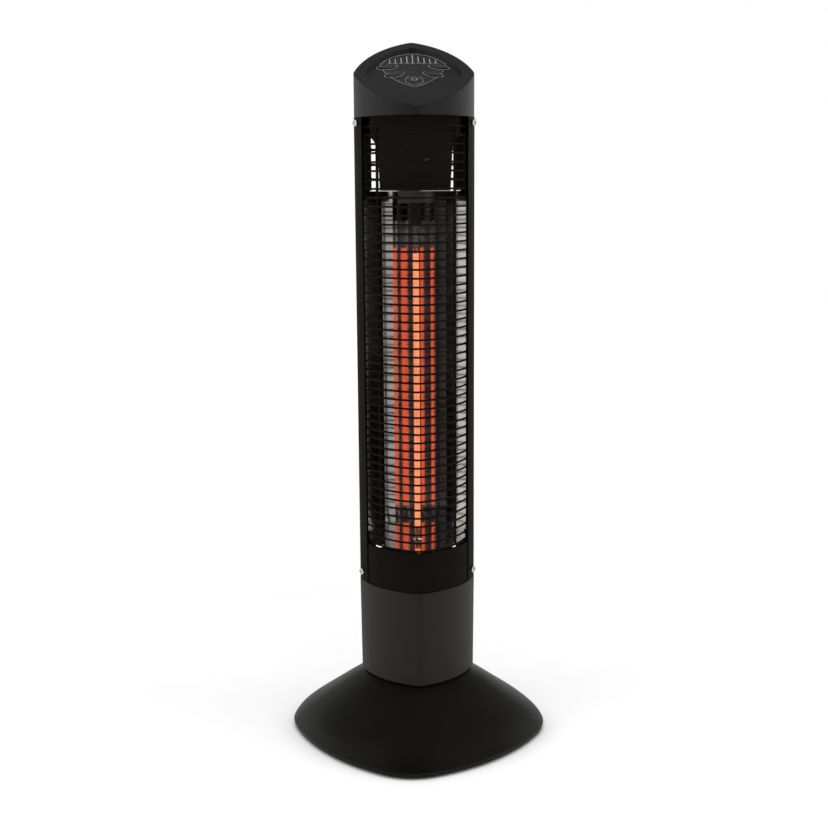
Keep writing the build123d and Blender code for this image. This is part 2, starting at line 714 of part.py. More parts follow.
with BuildPart() as swivel_gear:
    with BuildSketch(Plane.XY.offset(GEAR_LOW).rotated((0, 0, 90 - REST_TURN))):
        add(gear_outline(GEAR_TEETH))
        Circle(HUB_BORE, mode=Mode.SUBTRACT)
    extrude(amount=GEAR_THICK)
    with BuildSketch(Plane.XY.offset(GEAR_LOW)):
        with PolarLocations(GEAR_SCREW_CIRCLE, 3):
            Circle(SCREW_RADIUS + RUNNING)
    extrude(amount=GEAR_THICK, mode=Mode.SUBTRACT)
finish(swivel_gear.part, "swivel_gear")

with BuildPart() as gear_screws:
    gear_screw = pan_screw(grip=GEAR_THICK + SCREW_GRIP - CLEAR, head=GEAR_SCREW_HEAD)
    gear_under = Plane((0, 0, GEAR_LOW), x_dir=(1, 0, 0), z_dir=(0, 0, -1))
    set_screws(around(gear_under, GEAR_SCREW_CIRCLE, 3), gear_screw)
finish(gear_screws.part, "gear_screws")

# ---- Post ----------------------------------------------------------------------------

POST_BOSSES = PolarLocations(POST_BOSS_PLACE, 4)

with BuildPart() as post_shell:
    for height, flare in ((POST_BOTTOM, -POST_FLARE), (POST_TOP, POST_FLARE)):
        with BuildSketch(Plane.XY.offset(height)):
            add(column_outline(flare=flare))
    loft()
    for height, flare in ((POST_BOTTOM, -POST_FLARE), (POST_TOP, POST_FLARE)):
        with BuildSketch(Plane.XY.offset(height)):
            add(column_outline(POST_WALL, flare))
    loft(mode=Mode.SUBTRACT)
    with BuildSketch(Plane.XY.offset(POST_FLOOR)):
        add(column_outline(POST_WALL / 2, -POST_FLARE))
        Circle(HUB_BORE, mode=Mode.SUBTRACT)
    extrude(amount=POST_WALL)
    with BuildSketch(Plane.XY.offset(POST_FLOOR)):
        with POST_BOSSES:
            Circle(POST_BOSS)
    extrude(amount=DECK_LOW - POST_FLOOR)
    with BuildSketch(Plane.XY.offset(DECK_LOW)):
        with POST_BOSSES:
            Circle(SCREW_RADIUS)
    extrude(amount=-SCREW_GRIP, mode=Mode.SUBTRACT)
    with BuildSketch(Plane.XY.offset(POST_FLOOR)):
        with PolarLocations(HUB_SCREW_CIRCLE, 4, start_angle=45):
            Circle(SCREW_RADIUS + RUNNING)
    extrude(amount=POST_WALL, mode=Mode.SUBTRACT)
finish(post_shell.part, "post_shell")

INSIDE_POST = POST_FLOOR + POST_WALL
hub_screw = pan_screw(grip=POST_WALL + HUB_FLANGE_THICK - CLEAR)
with BuildPart() as hub_screws:
    set_screws(around(Plane.XY.offset(INSIDE_POST), HUB_SCREW_CIRCLE, 4, 45), hub_screw)
finish(hub_screws.part, "hub_screws")

with BuildPart() as deck_plate:
    with BuildSketch(Plane.XY.offset(DECK_LOW)):
        add(column_outline(POST_WALL + CLEAR, POST_FLARE))
        Circle(DECK_BORE, mode=Mode.SUBTRACT)
        with Locations((0, DECK_SLOT_BACK)):
            RectangleRounded(*DECK_SLOT_SIZE, LEAD_RADIUS, mode=Mode.SUBTRACT)
        with POST_BOSSES:
            Circle(SCREW_RADIUS + RUNNING, mode=Mode.SUBTRACT)
    extrude(amount=DECK_THICK)
finish(deck_plate.part, "deck_plate")

with BuildPart() as deck_screws:
    set_screws(around(Plane.XY.offset(POST_TOP), POST_BOSS_PLACE, 4), small_screw)
finish(deck_screws.part, "deck_screws")

with BuildPart() as mains_terminal_block:
    with BuildSketch(Plane.XY.offset(INSIDE_POST)):
        with Locations((0, -TERMINAL_OUT)):
            Rectangle(TERMINAL_SIZE[0], TERMINAL_SIZE[1])
    extrude(amount=TERMINAL_SIZE[2])
    with BuildSketch(Plane.XY.offset(INSIDE_POST + TERMINAL_SIZE[2])):
        with Locations((0, -TERMINAL_OUT)), GridLocations(TERMINAL_PITCH, 0, 3, 1):
            Circle(TERMINAL_WELL)
    extrude(amount=-TERMINAL_SIZE[2] / 2, mode=Mode.SUBTRACT)
finish(mains_terminal_block.part, "mains_terminal_block")

with BuildPart() as tilt_switch:
    with BuildSketch(Plane.XY.offset(INSIDE_POST)):
        with Locations(TILT_PLACE):
            Circle(TILT_RADIUS)
    extrude(amount=TILT_HEIGHT)
    chamfer(tilt_switch.edges().group_by(Axis.Z)[-1], TILT_EDGE)
finish(tilt_switch.part, "tilt_switch")

BOARD_FACE = Plane((0, POWER_BOARD_BACK, INSIDE_POST), x_dir=(1, 0, 0), z_dir=(0, -1, 0))
BOARD_HIGH = POWER_BOARD_SIZE[1]
HEADER_TOP = INSIDE_POST + BOARD_HIGH
with BuildPart() as power_board:
    with BuildSketch(BOARD_FACE):
        with Locations((0, BOARD_HIGH / 2)):
            Rectangle(POWER_BOARD_SIZE[0], BOARD_HIGH)
    extrude(amount=-BOARD_THICK)
    with BuildSketch(BOARD_FACE):
        with Locations((-RELAY_SIDE, BOARD_HIGH / 2)):
            Rectangle(COIL_SIZE[0], COIL_SIZE[2])
    extrude(amount=COIL_SIZE[1])
    with BuildSketch(BOARD_FACE):
        with Locations((RELAY_SIDE, BOARD_HIGH / 2)), GridLocations(0, 2 * RELAY_RISE, 1, 2):
            Rectangle(RELAY_SIZE[0], RELAY_SIZE[2])
    extrude(amount=RELAY_SIZE[1])
    with BuildSketch(BOARD_FACE.offset(-BOARD_THICK)):
        with Locations((-RIBBON_SIDE, BOARD_HIGH - HEADER_HEIGHT / 2)):
            Rectangle(HEADER_WIDTH, HEADER_HEIGHT)
    extrude(amount=-HEADER_DEPTH)
finish(power_board.part, "power_board")

# ---- Rails, rear housing and lower panel ---------------------------------------------

SIDE_HEIGHT = HEAD_BOTTOM - POST_TOP
GRILLE_SCREW_PLANES = {
    side: [
        Plane((side * SEAT.X, SEAT.Y, height), z_dir=(side * SCREW_OUT[0], SCREW_OUT[1], 0))
        for height in (GRILLE_SCREW_LOW, GRILLE_SCREW_HIGH)
    ]
    for side in (-1, 1)
}

for side, name in ((-1, "left_rail"), (1, "right_rail")):
    with BuildPart() as rail:
        with BuildSketch(Plane.XY.offset(POST_TOP)):
            add(column_outline(-RAIL_PROUD))
            add(column_outline(RAIL_DEPTH), mode=Mode.SUBTRACT)
            with Locations((side * (RAIL_INNER + COLUMN_HALF), 0)):
                Rectangle(2 * COLUMN_HALF, 2 * COLUMN_HALF, mode=Mode.INTERSECT)
        extrude(amount=SIDE_HEIGHT)
        for plane in GRILLE_SCREW_PLANES[side]:
            with BuildSketch(plane):
                Circle(GRILLE_SCREW_HEAD + CLEAR)
            extrude(amount=RAIL_WALL, mode=Mode.SUBTRACT)
            with BuildSketch(plane):
                Circle(GRILLE_SCREW_SHANK + RUNNING)
            extrude(amount=-PAD_DEPTH, mode=Mode.SUBTRACT)
    finish(rail.part, name)

with BuildPart() as rear_housing:
    with BuildSketch(Plane.XY.offset(POST_TOP)):
        add(column_outline(HOUSING_INSET))
        add(column_outline(HOUSING_INSET + HOUSING_WALL), mode=Mode.SUBTRACT)
        with Locations((0, COLUMN_HALF / 2)):
            Rectangle(2 * HOUSING_REACH, COLUMN_HALF, mode=Mode.INTERSECT)
    extrude(amount=SIDE_HEIGHT)
    with BuildSketch(Plane.XZ):
        for top in (*(SLOT_TOP - row * SLOT_PITCH for row in range(SLOT_ROWS)), INTAKE_TOP):
            with Locations((0, top - SLOT_HEIGHT / 2)), GridLocations(SLOT_REACH + SLOT_RIB, 0, 2, 1):
                RectangleRounded(SLOT_REACH - SLOT_RIB, SLOT_HEIGHT, SLOT_ROUND)
    extrude(amount=-COLUMN_HALF, mode=Mode.SUBTRACT)
finish(rear_housing.part, "rear_housing")

with BuildPart() as lower_panel:
    with BuildSketch(Plane.XY.offset(POST_TOP)):
        add(column_outline(PANEL_INSET))
        add(column_outline(PANEL_INSET + PANEL_WALL), mode=Mode.SUBTRACT)
        with Locations((0, -COLUMN_HALF / 2)):
            Rectangle(2 * (RAIL_INNER - CLEAR), COLUMN_HALF, mode=Mode.INTERSECT)
    extrude(amount=WINDOW_BOTTOM + PANEL_RISE - POST_TOP)
finish(lower_panel.part, "lower_panel")

# ---- Front grille --------------------------------------------------------------------


def wire_side(side):
    """One half of a wire's path, from the nose to the strip behind the rail."""
    end = Vector(side * (COLUMN_HALF - WIRE_END_IN), -WIRE_END_OUT)
    run = end - WIRE_NOSE
    bulge = Vector(run.Y, -run.X) * side * WIRE_BOW
    return ThreePointArc(WIRE_NOSE, (WIRE_NOSE + end) / 2 + bulge, end)


def upright_centre(side):
    """Where the upright on this side stands, inside the wires and welded to them."""
    arc = wire_side(side)
    along = arc % UPRIGHT_SHARE
    inward = Vector(-along.Y, along.X) * side
    return arc @ UPRIGHT_SHARE + inward * (UPRIGHT_RADIUS + WIRE_RADIUS - WELD)


with BuildLine() as wire_line:
    for side in (-1, 1):
        wire_side(side)
    fillet(wire_line.vertices().sort_by(Axis.Y)[0], WIRE_CORNER)
wire_path = wire_line.wire()

with BuildPart() as wire:
    with BuildSketch(Plane(wire_path @ 0, z_dir=wire_path % 0)):
        Circle(WIRE_RADIUS)
    sweep(path=wire_path)
wire_count = int((HEAD_BOTTOM - WIRE_RADIUS - WIRE_LOWEST) / WIRE_PITCH) + 1
STRIP_CENTRE = STRIP_DEPTH + STRIP_THICK / 2
STRIP_LOW = GRILLE_SCREW_LOW - GRILLE_PAD
STRIP_HIGH = GRILLE_SCREW_HIGH + GRILLE_PAD

with BuildPart() as front_grille:
    for side in (-1, 1):
        with BuildSketch(Plane.XY.offset(WIRE_LOWEST - UPRIGHT_OVERHANG)):
            with Locations(upright_centre(side)):
                Circle(UPRIGHT_RADIUS)
        extrude(amount=(wire_count - 1) * WIRE_PITCH + 2 * UPRIGHT_OVERHANG)
        with BuildSketch(Plane.XY.offset(STRIP_LOW)):
            strip = SEAT - Vector(*SCREW_OUT) * STRIP_CENTRE
            with Locations((side * strip.X, strip.Y)):
                Rectangle(STRIP_THICK, STRIP_WIDTH, rotation=side * (GRILLE_SCREW_FACING - 90))
        extrude(amount=STRIP_HIGH - STRIP_LOW)
        for plane in GRILLE_SCREW_PLANES[side]:
            with BuildSketch(plane.offset(-PAD_DEPTH)):
                Circle(GRILLE_PAD)
            extrude(amount=PAD_DEPTH - GRILLE_SCREW_LENGTH)
    with Locations(*((0, 0, WIRE_LOWEST + WIRE_PITCH * row) for row in range(wire_count))):
        add(wire.part)
    for side in (-1, 1):
        for plane in GRILLE_SCREW_PLANES[side]:
            with BuildSketch(plane):
                Circle(GRILLE_SCREW_SHANK + RUNNING)
            extrude(amount=-GRILLE_SCREW_LENGTH, mode=Mode.SUBTRACT)
finish(front_grille.part, "front_grille")

grille_screw = pan_screw(
    GRILLE_SCREW_SHANK, GRILLE_SCREW_LENGTH, GRILLE_SCREW_HEAD, GRILLE_SCREW_HEAD_HEIGHT
)
with BuildPart() as grille_screws:
    set_screws(GRILLE_SCREW_PLANES[-1] + GRILLE_SCREW_PLANES[1], grille_screw)
finish(grille_screws.part, "grille_screws")

# ---- Reflectors ----------------------------------------------------------------------

TROUGH_SIDE = (*TROUGH_FOLDS, TROUGH_EDGE)
TROUGH_POINTS = [(-x, y) for x, y in reversed(TROUGH_SIDE)] + [(0, TROUGH_BACK), *TROUGH_SIDE]


def trough_outline(grow):
    """Everything in front of the folded trough, grown outwards."""
    with BuildSketch(mode=Mode.PRIVATE) as shape:
        with BuildLine():
            front = [(side * TROUGH_EDGE[0], -COLUMN_HALF) for side in (1, -1)]
            Polyline(*TROUGH_POINTS, *front, close=True)
        make_face()
        if grow:
            offset(amount=grow, kind=Kind.INTERSECTION)
    return shape.sketch_local


def plate_outline(inset, grow=-CLEAR):
    """A plate inside the grille that reaches back to the trough."""
    with BuildSketch(mode=Mode.PRIVATE) as shape:
        add(column_outline(inset))
        add(trough_outline(grow), mode=Mode.INTERSECT)
        Rectangle(2 * PLATE_REACH, 2 * COLUMN_HALF, mode=Mode.INTERSECT)
        for side in (-1, 1):
            with Locations(upright_centre(side)):
                Circle(UPRIGHT_RADIUS + NOTCH_GAP, mode=Mode.SUBTRACT)
    return shape.sketch_local


with BuildPart() as bottom_reflector:
    with BuildSketch(Plane.XY.offset(POST_TOP)):
        add(plate_outline(PLATE_INSET))
        with Locations((0, -LAMP_OUT)):
            Circle(LAMP_RADIUS + NOTCH_GAP, mode=Mode.SUBTRACT)
    extrude(amount=WINDOW_TOP - POST_TOP)
    split(bisect_by=PLATE_PLANE, keep=Keep.BOTTOM)
    split(bisect_by=PLATE_PLANE.offset(-SHEET), keep=Keep.TOP)
finish(bottom_reflector.part, "bottom_reflector")

with BuildPart() as reflector:
    with BuildSketch(Plane.XY.offset(POST_TOP)):
        add(trough_outline(SHEET))
        add(trough_outline(0), mode=Mode.SUBTRACT)
        with Locations((0, COLUMN_HALF / 2 + TROUGH_EDGE[1])):
            Rectangle(2 * TROUGH_EDGE[0], COLUMN_HALF, mode=Mode.INTERSECT)
    extrude(amount=WINDOW_TOP - POST_TOP)
    split(bisect_by=PLATE_PLANE, keep=Keep.TOP)
finish(reflector.part, "reflector")

with BuildPart() as top_reflector:
    with BuildSketch(Plane.XY.offset(WINDOW_TOP)):
        add(plate_outline(TOP_PLATE_INSET, SHEET))
        with Locations((0, -LAMP_OUT)):
            Circle(LEAD_HOLE, mode=Mode.SUBTRACT)
    extrude(amount=SHEET)
finish(top_reflector.part, "top_reflector")

# ---- Lamp and its holders ------------------------------------------------------------

with BuildPart() as lamp_tube:
    with BuildSketch(Plane.XY.offset(LAMP_LOW)):
        with Locations((0, -LAMP_OUT)):
            Circle(LAMP_RADIUS)
            Circle(LAMP_RADIUS - LAMP_WALL, mode=Mode.SUBTRACT)
    extrude(amount=LAMP_HIGH - LAMP_LOW)
finish(lamp_tube.part, "lamp_tube")

with BuildPart() as filament:
    with BuildSketch(Plane.XY.offset(GLOW_LOW)):
        with Locations((0, -LAMP_OUT)):
            Circle(FILAMENT_RADIUS)
    extrude(amount=GLOW_HIGH - GLOW_LOW)
    with BuildSketch(Plane.XY.offset(LAMP_LOW + CLEAR)):
        with Locations((0, -LAMP_OUT)):
            Circle(ROD_RADIUS)
    extrude(amount=LAMP_HIGH - LAMP_LOW - 2 * CLEAR)
finish(filament.part, "filament")

with BuildPart() as lamp_caps:
    for end, away in ((LAMP_LOW, -1), (LAMP_HIGH, 1)):
        with BuildSketch(Plane.XY.offset(end - away * CAP_GRIP)):
            with Locations((0, -LAMP_OUT)):
                Circle(CAP_RADIUS)
        extrude(amount=away * CAP_LENGTH)
        with BuildSketch(Plane.XY.offset(end - away * CAP_GRIP)):
            with Locations((0, -LAMP_OUT)):
                Circle(LAMP_RADIUS + RUNNING)
        extrude(amount=away * CAP_GRIP, mode=Mode.SUBTRACT)
finish(lamp_caps.part, "lamp_caps")

for name, level, foot, away in (
    ("lower_lamp_holder", HOLDER_LOW, POST_TOP, -1),
    ("upper_lamp_holder", HOLDER_HIGH, WINDOW_TOP, 1),
):
    with BuildPart() as holder:
        with BuildSketch(Plane.XY.offset(level)):
            with Locations((0, -LAMP_OUT)):
                Rectangle(HOLDER_WIDTH, HOLDER_DEPTH)
                Circle(LEAD_HOLE, mode=Mode.SUBTRACT)
        extrude(amount=away * HOLDER_THICK)
        with BuildSketch(Plane.XY.offset(level)):
            for side in (-1, 1):
                with Locations((side * (HOLDER_WIDTH - HOLDER_THICK) / 2, -LAMP_OUT)):
                    Rectangle(HOLDER_THICK, HOLDER_DEPTH)
            if away > 0:
                with Locations((0, -LAMP_OUT - (HOLDER_DEPTH - HOLDER_THICK) / 2)):
                    Rectangle(HOLDER_WIDTH, HOLDER_THICK)
        extrude(amount=foot - level)
        if away > 0:
            holder_face = Plane(
                (SMALL_SCREW_SIDE, -LAMP_OUT - HOLDER_DEPTH / 2, (level + foot) / 2), z_dir=(0, -1, 0)
            )
            with BuildSketch(holder_face):
                Circle(SCREW_RADIUS + RUNNING)
            extrude(amount=-HOLDER_THICK, mode=Mode.SUBTRACT)
    finish(holder.part, name)

# ---- Shield above the lamp -----------------------------------------------------------

HOOD_FACE = Plane((0, -HOOD_FRONT, 0), x_dir=(1, 0, 0), z_dir=(0, -1, 0))
hood_screw_place = Plane((SMALL_SCREW_SIDE, -HOOD_FRONT, HOOD_SCREW_HEIGHT), z_dir=(0, -1, 0))


def hood_outline(inset):
    """The hood's front: straight up from the polished plate, then flared like a trumpet."""
    with BuildSketch(mode=Mode.PRIVATE) as shape:
        with BuildLine():
            for side in (-1, 1):
                low, neck, flare, brim, top = (
                    (side * (half - inset), height)
                    for half, height in (
                        (HOOD_LOW_HALF, WINDOW_TOP + SHEET), HOOD_NECK, HOOD_FLARE, HOOD_BRIM,
                        (HOOD_BRIM[0], HEAD_BOTTOM),
                    )
                )
                Line(low, neck)
                ThreePointArc(neck, flare, brim)
                Line(brim, top)
                Line(top, (0, HEAD_BOTTOM))
                Line(low, (0, WINDOW_TOP + SHEET))
        make_face()
    return shape.sketch_local


with BuildPart() as heat_baffle:
    with BuildSketch(HOOD_FACE):
        add(hood_outline(0))
    extrude(amount=-HOOD_DEPTH)
    with BuildSketch(HOOD_FACE.offset(-HOOD_WALL)):
        add(hood_outline(HOOD_WALL))
    extrude(amount=-HOOD_DEPTH, mode=Mode.SUBTRACT)
    with BuildSketch(hood_screw_place):
        Circle(SCREW_RADIUS + RUNNING)
    extrude(amount=-HOOD_WALL, mode=Mode.SUBTRACT)
finish(heat_baffle.part, "heat_baffle")

bright_screw = pan_screw(grip=SCREW_GRIP / 2)
with BuildPart() as earth_screws:
    set_screws([holder_face, hood_screw_place], bright_screw)
finish(earth_screws.part, "earth_screws")

with BuildPart() as thermal_cutout:
    with BuildSketch(Plane.XY.offset(WINDOW_TOP + SHEET)):
        with Locations(CUTOUT_PLACE):
            RectangleRounded(CUTOUT_SIZE[0], CUTOUT_SIZE[1], CUTOUT_ROUND)
    extrude(amount=CUTOUT_SIZE[2])
finish(thermal_cutout.part, "thermal_cutout")

# ---- Wires that the column holds -----------------------------------------------------


def lead(*points, bend):
    """A round wire along straight runs with rounded corners."""
    with BuildPart(mode=Mode.PRIVATE) as made:
        with BuildLine() as route:
            FilletPolyline(*points, radius=bend)
        with BuildSketch(Plane(points[0], z_dir=Vector(*points[1]) - Vector(*points[0]))):
            Circle(LEAD_RADIUS)
        sweep(path=route.wire())
    return made.part


RELAY_FRONT = POWER_BOARD_BACK - RELAY_SIZE[1] / 2
RELAY_TOP = INSIDE_POST + BOARD_HIGH / 2 + RELAY_RISE + RELAY_SIZE[2] / 2
LOW_LEAD_SIDE = RELAY_SIDE - LEAD_SIDE
HIGH_LEAD_SIDE = RELAY_SIDE + LEAD_SIDE
with BuildPart() as lamp_leads:
    add(lead(
        (LOW_LEAD_SIDE, RELAY_FRONT, RELAY_TOP),
        (LOW_LEAD_SIDE, RELAY_FRONT, LOW_LEAD_LEVEL),
        (0, -LAMP_OUT, LOW_LEAD_LEVEL),
        (0, -LAMP_OUT, HOLDER_LOW),
        bend=LEAD_BEND,
    ))
    add(lead(
        (HIGH_LEAD_SIDE, RELAY_FRONT, RELAY_TOP),
        (HIGH_LEAD_SIDE, RELAY_FRONT, HIGH_LEAD_START),
        (HIGH_LEAD_SIDE, LEAD_BACK, HIGH_LEAD_START + LEAD_RISE),
        (HIGH_LEAD_SIDE, LEAD_BACK, HIGH_LEAD_LEVEL),
        (0, -LAMP_OUT, HIGH_LEAD_LEVEL),
        (0, -LAMP_OUT, HOLDER_HIGH),
        bend=LEAD_BEND,
    ))
finish(lamp_leads.part, "lamp_leads")

# ---- Head ----------------------------------------------------------------------------

PANEL_FACE = RIM_PLANE.offset(-DISH_DEPTH)
BOARD_UNDER = BOARD_TOP + BOARD_THICK
HEAD_BOSSES = PolarLocations(HEAD_BOSS_PLACE, 3, start_angle=-90)
HEAD_FLOOR_TOP = HEAD_BOTTOM + HEAD_FLOOR_THICK
BUTTON_PLACES = {
    "upper_left_button": (-UPPER_LEAF[0], UPPER_LEAF[1], UPPER_LEAF_TURN, leaf_outline),
    "upper_right_button": (UPPER_LEAF[0], UPPER_LEAF[1], -UPPER_LEAF_TURN, leaf_outline),
    "lower_left_button": (-LOWER_LEAF[0], LOWER_LEAF[1], LOWER_LEAF_TURN, leaf_outline),
    "lower_right_button": (LOWER_LEAF[0], LOWER_LEAF[1], -LOWER_LEAF_TURN, leaf_outline),
    "power_button": (0, POWER_PLACE, 0, round_outline),
}
BAR_SPOTS = []
for bar in range(BAR_COUNT):
    step = bar - (BAR_COUNT - 1) / 2
    length = BAR_TALLEST * BAR_FALL ** abs(step)
    BAR_SPOTS.append((step * BAR_PITCH, BAR_LOW + length / 2, length))


def dish_outline(half):
    return bowed_diamond(half, half / cos(SLANT), half / cos(SLANT), COLUMN_BOW, DISH_CORNER)


def button_holes(grow):
    """The outlines of all five buttons, in the plane of the panel."""
    with BuildSketch(mode=Mode.PRIVATE) as shape:
        for across, along, turn, outline in BUTTON_PLACES.values():
            with Locations(Location((across, along, 0), (0, 0, turn))):
                add(outline(grow))
    return shape.sketch_local


def bar_slots(grow):
    """The outlines of the level bars, in the plane of the panel."""
    with BuildSketch(mode=Mode.PRIVATE) as shape:
        for across, along, length in BAR_SPOTS:
            with Locations((across, along)):
                Rectangle(BAR_WIDTH + grow, length + grow)
    return shape.sketch_local


with BuildPart() as head_room:
    with BuildSketch(Plane.XY.offset(HEAD_BOTTOM)):
        add(column_outline(HEAD_WALL))
    extrude(amount=2 * COLUMN_HALF)
    split(bisect_by=RIM_PLANE.offset(-PANEL_UNDER), keep=Keep.BOTTOM)
    with BuildSketch(Plane.XY.offset(HEAD_FLOOR_TOP)):
        with HEAD_BOSSES:
            Circle(HEAD_BOSS)
    extrude(amount=2 * COLUMN_HALF, mode=Mode.SUBTRACT)
    with BuildSketch(RIM_PLANE.offset(-BOARD_TOP)):
        with Locations(*BOARD_SCREWS):
            Circle(BOARD_BOSS)
    extrude(amount=BOARD_TOP - PANEL_UNDER, mode=Mode.SUBTRACT)

with BuildPart() as head_shell:
    with BuildSketch(Plane.XY.offset(HEAD_BOTTOM)):
        add(column_outline())
    extrude(amount=2 * COLUMN_HALF)
    split(bisect_by=RIM_PLANE, keep=Keep.BOTTOM)
    fillet(head_shell.faces().sort_by(Axis.Z)[-1].edges(), RIM_ROUND)
    add(head_room.part, mode=Mode.SUBTRACT)
    for depth, half in ((0, DISH_HALF), (DISH_DEPTH, DISH_HALF - DISH_DEPTH * tan(DISH_TAPER))):
        with BuildSketch(RIM_PLANE.offset(-depth)):
            add(dish_outline(half))
    loft(mode=Mode.SUBTRACT)
    with BuildSketch(PANEL_FACE):
        with Locations((0, FASCIA_MIDDLE)):
            add(fascia_outline())
    extrude(amount=-FASCIA_THICK, mode=Mode.SUBTRACT)
    with BuildSketch(PANEL_FACE):
        add(button_holes(BUTTON_GAP))
        add(bar_slots(CLEAR))
    extrude(amount=-CONTROL_FLOOR, mode=Mode.SUBTRACT)
    with BuildSketch(Plane.XY.offset(HEAD_FLOOR_TOP)):
        with HEAD_BOSSES:
            Circle(SCREW_RADIUS)
    extrude(amount=SCREW_GRIP - HEAD_FLOOR_THICK, mode=Mode.SUBTRACT)
    with BuildSketch(RIM_PLANE.offset(-BOARD_TOP)):
        with Locations(*BOARD_SCREWS):
            Circle(SCREW_RADIUS)
    extrude(amount=SCREW_GRIP - BOARD_THICK, mode=Mode.SUBTRACT)
finish(head_shell.part, "head_shell")

with BuildPart() as head_floor:
    with BuildSketch(Plane.XY.offset(HEAD_BOTTOM)):
        add(column_outline(HEAD_WALL + CLEAR / 2))
        with HEAD_BOSSES:
            Circle(SCREW_RADIUS + RUNNING, mode=Mode.SUBTRACT)
        with Locations((-RIBBON_SIDE, RIBBON_BACK)):
            Rectangle(RIBBON_WIDTH + 2 * RIBBON_GAP, RIBBON_THICK + 2 * RIBBON_GAP, mode=Mode.SUBTRACT)
    extrude(amount=HEAD_FLOOR_THICK)
finish(head_floor.part, "head_floor")

with BuildPart() as head_screws:
    under_head = Plane((0, 0, HEAD_BOTTOM), x_dir=(1, 0, 0), z_dir=(0, 0, -1))
    set_screws(around(under_head, HEAD_BOSS_PLACE, 3, 90), small_screw)
finish(head_screws.part, "head_screws")

with BuildPart() as control_fascia:
    with BuildSketch(PANEL_FACE):
        with Locations((0, FASCIA_MIDDLE)):
            add(fascia_outline(FASCIA_GAP))
        add(button_holes(BUTTON_GAP), mode=Mode.SUBTRACT)
        add(bar_slots(CLEAR), mode=Mode.SUBTRACT)
    extrude(amount=-FASCIA_THICK)
finish(control_fascia.part, "control_fascia")

with BuildPart() as light_bars:
    with BuildSketch(RIM_PLANE.offset(-PANEL_UNDER)):
        with Locations((0, BAR_LOW + BAR_TALLEST / 2)):
            Trapezoid(BAR_COUNT * BAR_PITCH, BAR_TALLEST + GUIDE_EDGE, GUIDE_ANGLE)
    extrude(amount=-GUIDE_THICK)
    with BuildSketch(RIM_PLANE.offset(-PANEL_UNDER)):
        add(bar_slots(0))
    extrude(amount=CONTROL_FLOOR + BAR_PROUD)
finish(light_bars.part, "light_bars")

with BuildPart() as control_board:
    with BuildSketch(RIM_PLANE.offset(-BOARD_TOP)):
        with Locations((0, FASCIA_MIDDLE)):
            add(fascia_outline(BOARD_INSET))
        with Locations(*BOARD_SCREWS):
            Circle(SCREW_RADIUS + RUNNING, mode=Mode.SUBTRACT)
    extrude(amount=-BOARD_THICK)
finish(control_board.part, "control_board")

with BuildPart() as board_screws:
    set_screws(
        [
            Plane(RIM_PLANE.offset(-BOARD_UNDER).from_local_coords(place), z_dir=-RIM_PLANE.z_dir)
            for place in BOARD_SCREWS
        ],
        small_screw,
    )
finish(board_screws.part, "board_screws")

with BuildPart() as key_switches:
    with BuildSketch(RIM_PLANE.offset(-BOARD_TOP)):
        for across, along, turn, outline in BUTTON_PLACES.values():
            with Locations(Location((across, along, 0), (0, 0, turn))):
                Rectangle(SWITCH_SIZE, SWITCH_SIZE)
    extrude(amount=SWITCH_HEIGHT)
finish(key_switches.part, "key_switches")

for name, (across, along, turn, outline) in BUTTON_PLACES.items():
    own = Location((across, along, 0), (0, 0, turn))
    with BuildPart() as button:
        with BuildSketch(PANEL_FACE.offset(BUTTON_RISE)):
            with Locations(own):
                add(outline())
        extrude(amount=-(BUTTON_RISE + CONTROL_FLOOR))
        crown = button.faces().sort_by(Axis(RIM_PLANE.origin, RIM_PLANE.z_dir))[-1]
        fillet(crown.edges(), BUTTON_EDGE)
        with BuildSketch(RIM_PLANE.offset(-PANEL_UNDER)):
            with Locations(own):
                add(outline(BUTTON_FLANGE))
        extrude(amount=-BUTTON_FLANGE)
        with BuildSketch(RIM_PLANE.offset(-PANEL_UNDER)):
            with Locations(own):
                Circle(BUTTON_STEM)
        extrude(amount=PANEL_UNDER - STEM_END)
    finish(button.part, name)

with BuildPart() as signal_lead:
    with BuildSketch(Plane.XY.offset(HEADER_TOP)):
        with Locations((-RIBBON_SIDE, RIBBON_BACK)):
            Rectangle(RIBBON_WIDTH, RIBBON_THICK)
    extrude(amount=HEAD_MIDDLE)
    split(bisect_by=RIM_PLANE.offset(-BOARD_UNDER), keep=Keep.BOTTOM)
finish(signal_lead.part, "signal_lead")
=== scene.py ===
import json
import random
from math import asin, cos, pi, radians, sin

import bmesh
import bpy
from mathutils import Matrix, Vector


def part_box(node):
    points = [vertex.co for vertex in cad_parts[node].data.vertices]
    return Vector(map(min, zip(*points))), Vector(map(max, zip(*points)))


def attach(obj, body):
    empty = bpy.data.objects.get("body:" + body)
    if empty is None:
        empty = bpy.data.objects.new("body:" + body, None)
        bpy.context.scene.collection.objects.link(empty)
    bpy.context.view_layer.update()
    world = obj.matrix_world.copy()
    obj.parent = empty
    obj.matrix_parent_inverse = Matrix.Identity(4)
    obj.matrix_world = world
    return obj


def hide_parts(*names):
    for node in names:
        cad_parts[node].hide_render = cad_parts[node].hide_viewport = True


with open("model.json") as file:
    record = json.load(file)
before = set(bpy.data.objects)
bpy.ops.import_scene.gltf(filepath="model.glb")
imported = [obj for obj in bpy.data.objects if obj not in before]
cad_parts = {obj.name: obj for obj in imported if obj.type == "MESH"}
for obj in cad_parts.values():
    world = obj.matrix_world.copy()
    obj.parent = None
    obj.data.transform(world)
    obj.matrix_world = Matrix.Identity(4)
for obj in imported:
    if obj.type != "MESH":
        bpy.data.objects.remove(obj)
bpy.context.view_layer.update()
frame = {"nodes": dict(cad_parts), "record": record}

# An infrared tower heater on a pale studio floor. Metres, +Z up, and the lamp faces -Y.

nodes = frame["nodes"]
scene = bpy.context.scene
scene.view_settings.view_transform = "Standard"

